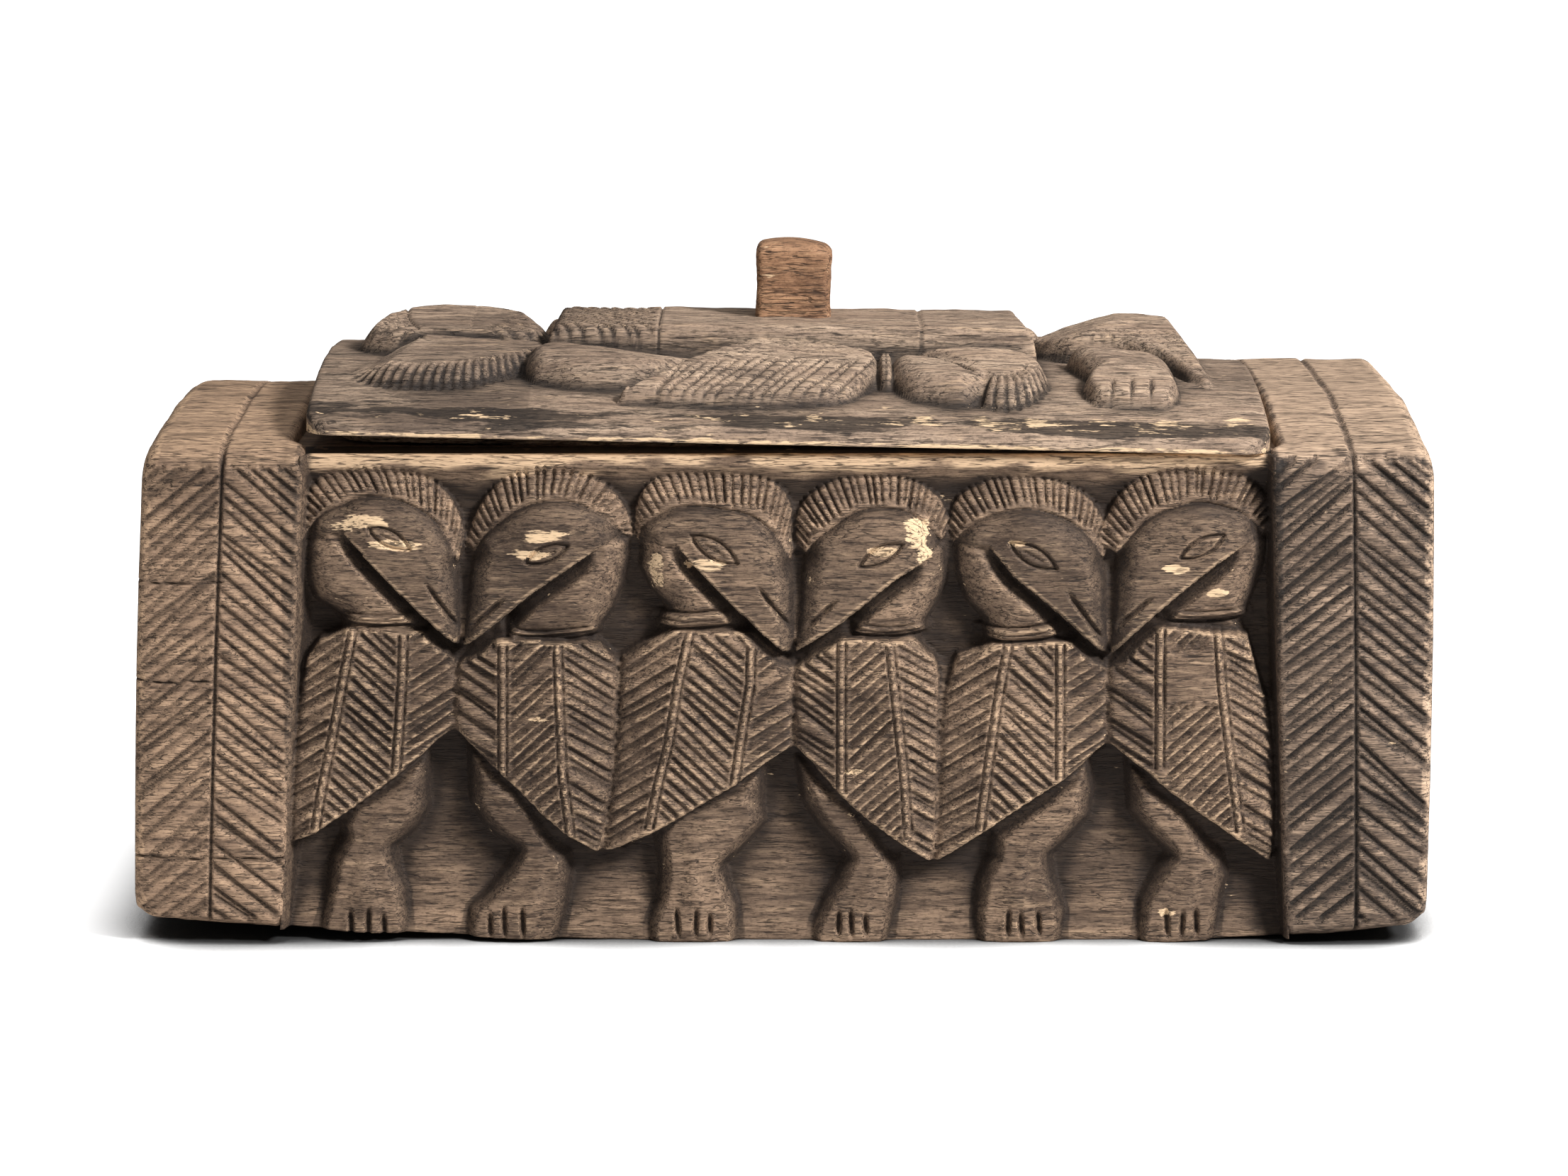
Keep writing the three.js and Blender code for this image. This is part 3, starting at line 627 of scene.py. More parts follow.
def sheet(name, place, marks):
    """A mesh net shaped to the places; marks are named values at its points."""
    columns, rows = np.array(place.shape[:2]) - 1
    net = bmesh.new()
    bmesh.ops.create_grid(net, x_segments=int(columns), y_segments=int(rows), size=1)
    mesh = bpy.data.meshes.new(name)
    net.to_mesh(mesh)
    net.free()
    spots = np.empty(3 * len(mesh.vertices))
    mesh.vertices.foreach_get("co", spots)
    column = np.rint((spots[0::3] + 1) / 2 * columns).astype(int)
    row = np.rint((spots[1::3] + 1) / 2 * rows).astype(int)
    mesh.vertices.foreach_set("co", (place[column, row] * MM).ravel())
    for mark, values in marks.items():
        layer = mesh.attributes.new(mark, "FLOAT", "POINT")
        layer.data.foreach_set("value", values[column, row].astype(np.float32))
    net = bmesh.new()
    net.from_mesh(mesh)
    bmesh.ops.remove_doubles(net, verts=net.verts, dist=2e-6)
    bmesh.ops.holes_fill(net, edges=[edge for edge in net.edges if edge.is_boundary], sides=0)
    bmesh.ops.recalc_face_normals(net, faces=net.faces)
    net.to_mesh(mesh)
    net.free()
    mesh.polygons.foreach_set("use_smooth", [True] * len(mesh.polygons))
    mesh.update()
    return add_object(name, mesh)


def build_wall(name, facing, cell, seed):
    """One long wall as a closed slab, in parts along it that meet without a step."""
    relief = carve_wall(cell, seed)
    surface = relief.surface()
    across, up = relief.across, relief.up
    shallow = blur(surface, wear_reach / cell)
    wide = blur(surface, dirt_and_shade_reach / cell)
    wider = blur(surface, 2.2 * dirt_and_shade_reach / cell)
    below_rim = wall_top - up
    to_block = np.minimum(across - across[:1], across[-1:] - across) / 3.0
    # the strip beside the right block is painted dark as the shadow that block casts
    right_block_shadow = unit(1 - (panel_high[1] - 1.0 - across) / 9.0)
    # painted darker: the low ground and every hollow and stroke, by dirt and by painted shade; the steep
    # sides as painted shade; each form by its own shade; and the strip beside the right block as that
    # block's painted shadow
    deep = unit((wide - surface) / 4.5) * 0.85 + unit((wider - surface) / 7.0) * 0.5
    deep = deep + unit(1 - surface / 6.5) * 0.36 + 0.3 * steepness(relief)
    deep = deep + relief.shade + 0.5 * right_block_shadow * (surface < 9)
    scored = unit(relief.score / 2.4) ** 0.8 * 0.85 - 0.3 * unit(relief.score / 2.0 - 1.3)
    # a strip under the rim is rubbed, as are the edges and the highest places
    ragged = 0.8 * ripple(across, 0, up, 9, seed + 6, 3.0)
    rim_strip = unit(1.3 - below_rim / 7.0 + ragged) * (below_rim < 11)
    deep = np.maximum(deep, scored) * (1 - 0.75 * rim_strip)
    # painted shade in the corners where the sunk wall meets the end blocks
    deep = np.maximum(deep, 0.6 * unit(2 - to_block))
    worn = unit((surface - shallow) / 0.7 - 0.15) * unit((surface - 3) / 5) * 0.5
    worn = (worn + 0.2 * unit((surface - 8) / 5)) * unit(to_block - 1)
    worn = np.maximum(worn, rim_strip * unit(to_block - 0.5))
    front_y = facing * (ground_out + surface)
    face = np.stack([across, front_y, up], axis=-1)
    # the wall goes on over its rounded rim, down its inner face and back under
    top_edge = np.abs(front_y[:, -1])
    soften = 2.2
    for step in range(1, 4):
        turn = (4 - step) / 4
        face[:, -step, 1] -= facing * soften * (1 - math.cos(turn * math.pi / 2))
    rim_rows = 10
    rim_share = np.linspace(0, 1, rim_rows + 1)[None, 1:]
    rim_y = (top_edge - soften)[:, None] + (wall_inner - top_edge + soften)[:, None] * rim_share
    rim_x = np.broadcast_to(across[:, -1:], rim_y.shape)
    rim_z = wall_top + 0.12 * ripple(rim_x, rim_y, 0, 9, seed + 5) - 0.15
    rim = np.stack([rim_x, facing * rim_y, rim_z], axis=-1)
    inner_rows = 6
    inner_share = np.linspace(0, 1, inner_rows + 1)[None, 1:]
    inner_z = wall_top - (wall_top - up[:, :1]) * inner_share
    inner_x = across[:, -1:] + (across[:, :1] - across[:, -1:]) * inner_share
    inner = np.stack([inner_x, np.full(inner_z.shape, facing * wall_inner), inner_z], axis=-1)
    place = np.concatenate([inner[:, -1:], face, rim, inner], axis=1)
    no_mark = np.zeros((len(place), 1))
    no_rim_mark, no_inner_mark = np.zeros(rim_y.shape), np.zeros(inner_z.shape)
    # the rim's top is painted darker inward from its front edge, and the inner face dark, as painted shade
    # under the lid and inside the box
    inward = unit(rim_share * 10) + no_rim_mark
    marks = {
        "deep": (no_mark, deep, 0.2 + 0.75 * inward, no_inner_mark + 0.8),
        "worn": (no_mark, worn, 0.5 - 0.5 * inward, no_inner_mark),
        "bare": (no_mark, relief.bare, no_rim_mark, no_inner_mark),
    }
    # each part runs one column on into the next, a little below its face
    pieces = []
    columns = len(place) - 1
    sunk = 0.05
    for part in range(wall_parts):
        start = round(columns * part / wall_parts)
        end = round(columns * (part + 1) / wall_parts)
        first, last = max(start - 1, 0), min(end + 1, columns)
        span = place[first:last + 1].copy()
        if first < start:
            span[0, :, 1] -= facing * sunk
        if last > end:
            span[-1, :, 1] -= facing * sunk
        cut_marks = {mark: np.concatenate(values, axis=1)[first:last + 1] for mark, values in marks.items()}
        pieces.append(sheet(f"{name}_{part + 1}", span, cut_marks))
    return pieces


wall_pieces = build_wall("front_wall", -1, front_cell, 11) + build_wall("back_wall", 1, back_cell, 23)


class Wire:
    """A socket's value, so that shader maths is written as Python expressions."""

    def __init__(self, tree, socket):
        self.tree = tree
        self.socket = socket

    def sum_of(self, operation, *values, clamp=False):
        return self.tree.node("ShaderNodeMath", {"operation": operation, "use_clamp": clamp}, list(values))

    def __add__(self, other):
        return self.sum_of("ADD", self, other)

    __radd__ = __add__

    def __sub__(self, other):
        return self.sum_of("SUBTRACT", self, other)

    def __rsub__(self, other):
        return self.sum_of("SUBTRACT", other, self)

    def __mul__(self, other):
        return self.sum_of("MULTIPLY", self, other)

    __rmul__ = __mul__

    def __abs__(self):
        return self.sum_of("ABSOLUTE", self)

    def clamped(self):
        return self.sum_of("ADD", self, 0.0, clamp=True)

    def step(self, low, high):
        """0 below low and 1 above high, with a soft change between."""
        settings = {"interpolation_type": "SMOOTHSTEP"}
        values = {"Value": self, "From Min": low, "From Max": high}
        return self.tree.node("ShaderNodeMapRange", settings, values)


class Finish:
    """A material and the nodes that make it."""

    def __init__(self, name):
        self.material = bpy.data.materials.new(name)
        self.material.use_nodes = True
        self.nodes = self.material.node_tree.nodes
        self.links = self.material.node_tree.links
        self.shader = self.nodes["Principled BSDF"]

    def node(self, kind, settings, values, output=0):
        made = self.nodes.new(kind)
        for setting, value in settings.items():
            setattr(made, setting, value)
        entries = values.items() if isinstance(values, dict) else enumerate(values)
        for key, value in entries:
            if isinstance(value, Wire):
                self.links.new(value.socket, made.inputs[key])
            else:
                made.inputs[key].default_value = value
        return Wire(self, made.outputs[output])

    def mark(self, name):
        return self.node("ShaderNodeAttribute", {"attribute_name": name}, [], output="Fac")

    def noise(self, along, across, detail, rough):
        """A noise with so many waves to a metre along the grain and across it."""
        spot = self.node("ShaderNodeTexCoord", {}, [], output="Object")
        scaled = [spot, (along, across, across)]
        place = self.node("ShaderNodeVectorMath", {"operation": "MULTIPLY"}, scaled)
        values = {"Vector": place, "Scale": 1.0, "Detail": detail, "Roughness": rough}
        return self.node("ShaderNodeTexNoise", {}, values, output="Fac")

    def blend(self, share, first, second):
        settings = {"data_type": "RGBA", "clamp_factor": True}
        return self.node("ShaderNodeMix", settings, {0: share, 6: first, 7: second}, output=2)

    def feed(self, name, value):
        if isinstance(value, Wire):
            self.links.new(value.socket, self.shader.inputs[name])
        else:
            self.shader.inputs[name].default_value = value


def srgb(red, green, blue):
    """A colour given as seen on screen, 0 to 255, as the shader's own linear values."""
    shares = [channel / 255 for channel in (red, green, blue)]
    return (*[c / 12.92 if c <= 0.04045 else ((c + 0.055) / 1.055) ** 2.4 for c in shares], 1)


bare_tone = srgb(226, 194, 156)


def old_wood(name, *tones):
    """Open-grained hardwood, darkened in every hollow by dirt and by painted shade, and rubbed pale on what
    stands out.
    Its tones are the light, middle and dark wood, the soot and painted shade of the hollows and the tan of
    the rubbed places."""
    light, middle, dark, soot_and_shade, tan = [srgb(*tone) for tone in tones]
    finish = Finish(name)
    fibre = finish.noise(110, 1300, 2.0, 0.6)
    fine = finish.noise(260, 2100, 1.0, 0.5)
    streak = finish.noise(16, 150, 3.0, 0.6)
    cloud = finish.noise(13, 18, 3.0, 0.55)
    split = finish.noise(45, 560, 1.0, 0.5)
    chip = finish.noise(60, 180, 4.0, 0.65)
    grain = finish.noise(34, 460, 4.0, 0.68)
    stipple = finish.noise(620, 1000, 2.0, 0.7)
    deep = finish.mark("deep")
    worn = finish.mark("worn")
    bare = finish.mark("bare")
    pore = fibre.step(0.43, 0.37)
    small_pore = fine.step(0.42, 0.34)
    check = abs(split - 0.5).step(0.034, 0.01) * streak.step(0.42, 0.56)
    tone = finish.blend(streak.step(0.32, 0.68), middle, light)
    tone = finish.blend(cloud.step(0.42, 0.66) * 0.6, tone, dark)
    tone = finish.blend(grain.step(0.5, 0.64) * 0.72, tone, dark)
    tone = finish.blend(stipple.step(0.5, 0.64) * 0.4, tone, dark)
    tone = finish.blend(grain.step(0.47, 0.3) * (0.25 + 0.4 * worn), tone, tan)
    tone = finish.blend(fine.step(0.56, 0.72) * (0.1 + 0.4 * worn), tone, tan)
    # the deep mark darkens towards the soot tone: dirt and painted shade together
    dirt_and_shade = (deep * (0.7 + 0.6 * cloud)).step(0.1, 0.95)
    tone = finish.blend(dirt_and_shade * 0.9, tone, soot_and_shade)
    patina = (finish.mark("patina") + (streak - 0.5) * 1.3 + (chip - 0.5) * 1.1).step(0.42, 0.62)
    tone = finish.blend(patina * 0.82, tone, soot_and_shade)
    rubbed = (worn * (0.2 + 1.4 * fibre) + (streak - 0.5) * 0.5).step(0.3, 0.95) * (1 - dirt_and_shade * 0.7)
    tone = finish.blend(rubbed * 0.8, tone, tan)
    scraped = (bare + (chip - 0.5) * 3.0 + (fibre - 0.5) * 0.9).step(0.62, 0.8)
    tone = finish.blend(scraped * 0.9, tone, bare_tone)
    marks = (pore * 0.75 + small_pore * 0.4 + check * 0.7).clamped()
    tone = finish.blend(marks * 0.85, tone, soot_and_shade)
    finish.feed("Base Color", tone)
    finish.feed("Roughness", 0.66 + 0.2 * fibre)
    finish.feed("Specular IOR Level", 0.3)
    rough_height = fine * 0.3 + streak * 0.7 - pore * 0.6 - check * 0.8
    bump = finish.node("ShaderNodeBump", {}, {"Height": rough_height, "Strength": 0.6, "Distance": 0.0006})
    finish.feed("Normal", bump)
    return finish.material


wall_wood = old_wood("carved_wall_wood", (156, 129, 106), (118, 97, 80), (66, 51, 41), (30, 21, 16),
                     (222, 188, 152))
for piece in wall_pieces:
    piece.data.materials.append(wall_wood)
    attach(piece, "box")

# The end blocks
# At both ends the full depth of the block is left standing, a little higher than the rim. Their faces
# carry two columns of slanting strokes that meet in a groove, and the groove runs on over the top.
# "top" is a block's outline over its top, as Y and height. "outer" is how far out its end face lies at the
# top and at the foot, and its bulge. "front_inner" is how far out its front begins, at the rim and the foot
block_ends = {
    "left": {
        "side": -1,
        "top": [(-95, 190.0), (-92.6, 195.2), (-80, 197.8), (-64, 199.4), (-34, 200.8), (-9.5, 202.5),
                (28.5, 202.5), (46, 201.0), (61, 199.0), (76, 196.7), (89, 194.4), (95, 190.4)],
        "outer": (243.5, 252.3, 1.2),
        "front_inner": (182.5, 194.5),
        "mouth": 188.0,
        "stroke_top": 190.5,
        "stroke_depth": 1.5,
        "pitches": (4.3, 4.9),
        "top_wear": 0.22,
        "crease": -56.0,
    },
    "right": {
        "side": 1,
        "top": [(-95, 190.0), (-90, 193.9), (-81, 196.0), (-53, 200.4), (-34, 203.0), (-17, 205.6),
                (40, 205.8), (83.6, 205.6), (92, 202.8), (95, 197.6)],
        "outer": (249.0, 251.5, 1.0),
        "front_inner": (187.0, 196.5),
        "mouth": 191.0,
        "stroke_top": 194.0,
        "stroke_depth": 1.9,
        "pitches": (4.6, 4.6),
        "top_wear": 0.38,
        "crease": -42.0,
    },
}
# Drying checks on the left block's front: height, and X where each starts and ends
left_checks = [(144.3, -251, -212), (105.4, -251, -214), (35.2, -252, -190)]
block_cell = 0.68 * FINE
block_middle = (0.0, 98.0)
stroke_width = 3.8
stroke_rise = 39
stroke_low = 9.0
fully_dark_cut = 1.9
end_heart = (18.0, 92.0)
end_checks = 9
top_checks = 5
edge_round = 3.2
outer_round = 4.5
foot_round = 10.0
top_round = 7.0


def block_loop(top, spacing):
    """The block's outline seen from its end, rounded at its corners, with its outward normals."""
    corners = [(93.5, 0), (-95, 0)] + top
    dense = []
    for start, end in zip(corners, corners[1:] + corners[:1]):
        count = max(round(math.dist(start, end) / 0.4), 1)
        for step in range(count):
            dense.append(part_way(start, end, step / count))
    dense = np.array(dense)
    reach = 30
    kernel = bell(reach, 11.0)
    wide = np.concatenate([dense[-reach:], dense, dense[:reach]])
    dense = np.stack([np.convolve(wide[:, axis], kernel, "valid") for axis in (0, 1)], axis=1)
    picked = [0]
    walked = 0.0
    for index in range(1, len(dense)):
        walked += math.dist(dense[index], dense[index - 1])
        y, z = dense[index]
        if walked >= spacing(y, z):
            picked.append(index)
            walked = 0.0
    way = np.roll(dense, -2, axis=0) - np.roll(dense, 2, axis=0)
    way /= np.linalg.norm(way, axis=1)[:, None]
    normal = np.stack([-way[:, 1], way[:, 0]], axis=1)
    picked.append(0)
    return dense[picked], normal[picked]


def build_block(name, end, seed):
    """One end block, as rings of places that run round its outline."""
    side = end["side"]
    random = np.random.default_rng(seed)

    def spacing(y, z):
        if z < 2:
            return 5.0
        if y < -92:
            return block_cell
        return FINE if y > 92 else 1.2 * FINE

    loop, normal = block_loop(end["top"], spacing)
    loop_y, loop_z = loop[None, :, 0], loop[None, :, 1]
    normal_y, normal_z = normal[None, :, 0], normal[None, :, 1]
    high, low, bulge = end["outer"]
    crown_z = max(z for y, z in end["top"])

    def outer_at(z):
        share = unit(z / crown_z)
        return low + (high - low) * share + bulge * np.sin(math.pi * share)

    def inner_at(y, z):
        at_top, at_foot = end["front_inner"]
        front = at_foot + (at_top - at_foot) * unit(z / wall_top)
        in_mouth = unit((84.0 - np.abs(y)) / 6.0) * unit((z - 150) / 30)
        return front + (end["mouth"] - front) * in_mouth

    # across the block: the inner face's rings, its rounded edge, the body, the outer edge and face
    inner_rings = np.linspace(0, 1, 9)[:-1]
    turn = np.linspace(1, 0, 6)[:-1] * math.pi / 2
    body = np.linspace(0, 1, round(56 / block_cell) + 1)
    far_turn = np.linspace(0, 1, 10)[1:] * math.pi / 2
    outer_rings = np.linspace(1, 0, round(46 / FINE) + 1)[1:]
    round_out = outer_round + (foot_round - outer_round) * unit(1 - loop_z / 12.0)
    round_out = round_out + (top_round - outer_round) * unit((loop_z - 183.0) / 6.0)
    inner_x = inner_at(loop_y, loop_z)
    outer_x = outer_at(loop_z)
    places = []

    def toward_middle(y, z, ring):
        middle_y, middle_z = block_middle
        return middle_y + (y - middle_y) * ring, middle_z + (z - middle_z) * ring

    def add(x, inset, ring=1.0):
        y, z = toward_middle(loop_y - normal_y * inset, loop_z - normal_z * inset, ring)
        places.append(np.stack(np.broadcast_arrays(x, y, z, 1.0 - ring)))

    for ring in inner_rings:
        add(inner_at(*toward_middle(loop_y, loop_z, ring)), edge_round, ring)
    for angle in turn:
        add(inner_x + edge_round * (1 - math.sin(angle)), edge_round * (1 - math.cos(angle)))
    for share in body:
        start = inner_x + edge_round
        add(start + (outer_x - round_out - start) * share, 0.0)
    for angle in far_turn:
        add(outer_x - round_out * (1 - math.sin(angle)), round_out * (1 - math.cos(angle)))
    for ring in outer_rings:
        add(outer_at(toward_middle(loop_y, loop_z, ring)[1]), round_out, ring)
    x, y, z, capped = np.concatenate(places, axis=1)
    x = side * x
    skin = (capped < 1e-6).astype(float)
    lift = base_height(x)
    z = lift + z * (1 - lift / crown_z)

    # strokes on the front and on the back, the groove between them and over the top, and old checks
    cut = np.zeros(x.shape)
    columns = slice(len(inner_rings), len(inner_rings) + len(turn) + len(body) + len(far_turn))
    edges_front = lambda height: (side * inner_at(np.array(-95.0), height), side * outer_at(height))
    groove_at = lambda height: sum(edges_front(height)) / 2
    heights = [stroke_low, 60.0, 120.0, end["stroke_top"]]
    outline = [(edges_front(height)[0], height) for height in heights]
    outline += [(edges_front(height)[1], height) for height in heights[::-1]]
    settings = {"margin": 1.5, "width": stroke_width, "depth": end["stroke_depth"]}
    first, second = end["pitches"]
    before_groove = lambda px, pz: px < groove_at(pz) - 0.6
    past_groove = lambda px, pz: px > groove_at(pz) + 0.6
    for facing in (-1, 1):
        rows = run_of((facing * loop[:, 0] > 90) & (loop[:, 1] > 2))
        relief = Relief(x[columns, rows], z[columns, rows], block_cell)
        barbs(relief, outline, before_groove, stroke_rise, random, pitch=first, **settings)
        barbs(relief, outline, past_groove, -stroke_rise, random, pitch=second, **settings)
        relief.line([(groove_at(height), height) for height in (5.0, 60.0, 120.0, 180.0, 196.0)], 2.4, 2.2)
        if side < 0 and facing < 0:
            for height, start, stop in left_checks:
                check = [(start, height + 1.0), ((start * 2 + stop) / 3, height - 0.6), (stop, height)]
                relief.line(check, 0.9, 2.2, fade=4)
        cut[columns, rows] = np.maximum(cut[columns, rows], relief.score)
    rows = run_of(loop[:, 1] > 188.5)
    top = Relief(x[columns, rows], y[columns, rows], block_cell)
    over = [(groove_at(height), at_y) for height, at_y in ((192.0, -96.0), (200.0, -40.0), (202.0, 96.0))]
    top.line(over, 3.6, 1.1)
    crease_y = end["crease"]
    top.line([(groove_at(190.0), crease_y), (edges_front(190.0)[0], crease_y + 1.5)], 1.6, 1.8, fade=5)
    for check in range(top_checks):
        start = (side * random.uniform(196, 236), random.uniform(-60, 85))
        stop = (start[0] + random.uniform(-12, 12), start[1] + random.uniform(-0.8, 0.8))
        top.line([start, stop], 0.9, 1.4, fade=4)
    cut[columns, rows] = np.maximum(cut[columns, rows], top.score)

    wobble = 0.3 * ripple(x, y, z, 34, seed + 3) + 0.16 * ripple(x, y, z, 6, seed + 4, 1.8) - 0.35
    # the sawn and adzed end face, checked along its radii
    end_face = unit((np.abs(x) - 240.0) / 4.0) * (capped > 0)
    adze = 0.55 * ripple(x * 0, y, z, 19, seed + 6) + 0.2 * ripple(x * 0, y * 3, z, 8, seed + 7)
    angle = np.arctan2(z - end_heart[1], y - end_heart[0])
    radius = np.hypot(y - end_heart[0], z - end_heart[1])
    check_cut = np.zeros(x.shape)
    for check in range(end_checks):
        ray = random.uniform(-math.pi, math.pi)
        reach_in, reach_out = random.uniform(8, 40), random.uniform(50, 96)
        off = np.abs((angle - ray + math.pi) % math.tau - math.pi) * radius
        off = off + 0.5 * np.sin(radius / 6.0 + check)
        held = unit((radius - reach_in) / 10) * unit((reach_out - radius) / 10)
        check_cut = np.maximum(check_cut, 1.8 * held * unit(1 - np.abs(off) / 0.9))
    check_cut *= end_face
    depth = (cut - wobble) * skin
    y = y - normal_y * depth
    z = z - normal_z * depth
    x = x - side * end_face * (0.7 - adze * 0.8 + check_cut)
    x = np.clip(x, body_low[0], body_high[0])
    y = np.clip(y, body_low[1], body_high[1])
    place = np.stack([x, y, z], axis=-1)
    # worn where the block is round, dark in the strokes and stained on top; its inner faces beside the
    # walls are painted dark as shade
    scored = unit(cut / fully_dark_cut)
    rounding = np.zeros(x.shape)
    start = len(inner_rings)
    rounding[start:start + len(turn)] = -0.6
    first_far = start + len(turn) + len(body)
    rounding[first_far:first_far + len(far_turn) - 3] = 1
    upper = unit((z - 186 + 5 * ripple(x, y, z, 9, seed + 9)) / 9) * skin
    patchy = 0.6 + 0.8 * ripple(x, y, z, 16, seed + 8)
    worn = unit(rounding * 0.5 * patchy + end["top_wear"] * upper + 0.4 * skin) * (1 - scored)
    scored = scored * (1 - 0.7 * upper)
    # painted shade on the block's inner faces and inner edge, where they stand over the sunk walls
    recess_shade = unit((np.abs(y) - 78) / 10) * (np.abs(x) < 192)
    deep = scored * 0.85 + unit(check_cut) + 0.12 * (1 - upper) + 0.25 * recess_shade * (1 - rounding)
    stain = unit(ripple(x, 2.2 * y, z, 17, seed + 10, 2.5) + 0.1) * upper
    deep = deep + 0.15 * end_face + 0.55 * stain
    marks = {"deep": deep, "worn": worn, "bare": np.zeros(x.shape)}
    return sheet(name, place, marks)


blocks = []
for seed, (which, end) in enumerate(block_ends.items(), 40):
    blocks.append(build_block(f"end_block_{which}", end, seed))
left_wood = old_wood("left_end_wood", (180, 149, 122), (144, 118, 97), (88, 70, 57), (32, 24, 19),
                     (206, 171, 138))
right_wood = old_wood("right_end_wood", (142, 120, 102), (110, 92, 78), (62, 50, 42), (22, 17, 14),
                      (206, 176, 148))
for piece, wood in zip(blocks, (left_wood, right_wood)):
    piece.data.materials.append(wood)
    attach(piece, "box")

# The trough's inside
# Floor, end ledges and inner faces of the hollow, and the bowed base, all of the same block of wood.
# Its outer shell lies just behind the carved walls and runs into both end blocks.
hollow_left, hollow_right = -158.0, 178.0
hollow_half = 66.0
hollow_round = 14.0
floor_top = 24.0
floor_round = 5.0
core_half = ground_out - 1.5
core_top = wall_top - 0.25
core_cuts = 40
smooth_turn = 35


def box_mesh(low, high):
    """A plain box between two corners, to be cut into shape."""
    net = bmesh.new()
    bmesh.ops.create_cube(net, size=1)
    for vert in net.verts:
        for axis in range(3):
            vert.co[axis] = (low[axis] if vert.co[axis] < 0 else high[axis]) * MM
    net.normal_update()
    return net


def round_edges(net, offset, segments, chosen):
    """Round the edges of a net whose two ends fit the choice."""
    edges = [edge for edge in net.edges if chosen(*[vert.co.z / MM for vert in edge.verts])]
    bmesh.ops.bevel(net, geom=edges, offset=offset * MM, segments=segments, profile=0.5, affect="EDGES",
                    material=-1)


def open_top(net):
    """Take the faces that look up off a net."""
    net.normal_update()
    bmesh.ops.delete(net, geom=[face for face in net.faces if face.normal.z > 0.9], context="FACES_ONLY")


def finish_mesh(name, net, marks):
    """A piece from a net, with the same mark values all over."""
    for mark, value in marks.items():
        layer = net.verts.layers.float.new(mark)
        for vert in net.verts:
            vert[layer] = value
    bmesh.ops.recalc_face_normals(net, faces=net.faces)
    mesh = bpy.data.meshes.new(name)
    net.to_mesh(mesh)
    net.free()
    mesh.polygons.foreach_set("use_smooth", [True] * len(mesh.polygons))
    mesh.set_sharp_from_angle(angle=math.radians(smooth_turn))
    return add_object(name, mesh)


core = box_mesh((panel_low[0] - 2, -core_half, 0.0), (panel_low[1] + 2, core_half, core_top))
hollow = box_mesh((hollow_left, -hollow_half, floor_top), (hollow_right, hollow_half, core_top))
round_edges(hollow, hollow_round, 6, lambda start, end: abs(start - end) > 10)
round_edges(hollow, floor_round, 3, lambda start, end: max(start, end) < floor_top + 1)
open_top(hollow)
open_top(core)
# the two open shells become one mesh, and faces between their rims close it
hollow_mesh = bpy.data.meshes.new("hollow")
hollow.to_mesh(hollow_mesh)
hollow.free()
core.from_mesh(hollow_mesh)
bpy.data.meshes.remove(hollow_mesh)
rims = [edge for edge in core.edges if edge.is_boundary]
bmesh.ops.triangle_fill(core, use_beauty=True, edges=rims, normal=(0, 0, 1))
# the base is cut into short runs, so that it can bow
for cut in range(1, core_cuts):
    at_x = (body_low[0] + (body_high[0] - body_low[0]) * cut / core_cuts) * MM
    everything = list(core.verts) + list(core.edges) + list(core.faces)
    bmesh.ops.bisect_plane(core, geom=everything, plane_co=(at_x, 0, 0), plane_no=(1, 0, 0))
for vert in core.verts:
    if vert.co.z < 1 * MM:
        vert.co.z = float(base_height(vert.co.x / MM) + 0.05) * MM
core_piece = finish_mesh("hollow_and_base", core, {"deep": 0.35, "worn": 0.1, "bare": 0.0})
core_piece.data.materials.append(wall_wood)
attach(core_piece, "box")
for piece in wall_pieces + blocks + [core_piece]:
    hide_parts("box_body")

# The lid
# One slab, arched on top, with four birds that follow one another round a raised bar. A step under
# it drops into the hollow when the lid is laid on the right way round; here it lies askew.
lid_half_length = 185.0
lid_half_depth = 92.0
lid_shift = 2.5
lid_seat_gap = 0.3
step_depth = 7.1
step_left, step_right = 175.0, 155.0
step_clear, step_sunk = 1.5, 1.5
step_edge_round = 1.2
lid_edge = 5.0
lid_crown = 20.0
lid_corner = 12.0
lid_tilt = math.atan2(step_depth, lid_half_length + lid_shift - hollow_left - hollow_round)
lid_cell = (0.86 * FINE, 0.95 * FINE)
lid_top = 37.3
lid_barb_pitch = 4.2
bar_ends = (-96.0, 97.0)
bar_half = 31.0
bar_top, bar_slope = 36.8, 0.012
bar_edge, bar_roundness = 6.0, 2.3


def arch_at(y):
    """The height of the arched top over the lid's underside."""
    return lid_edge + (lid_crown - lid_edge) * (1 - np.abs(y / lid_half_depth) ** 2.2)


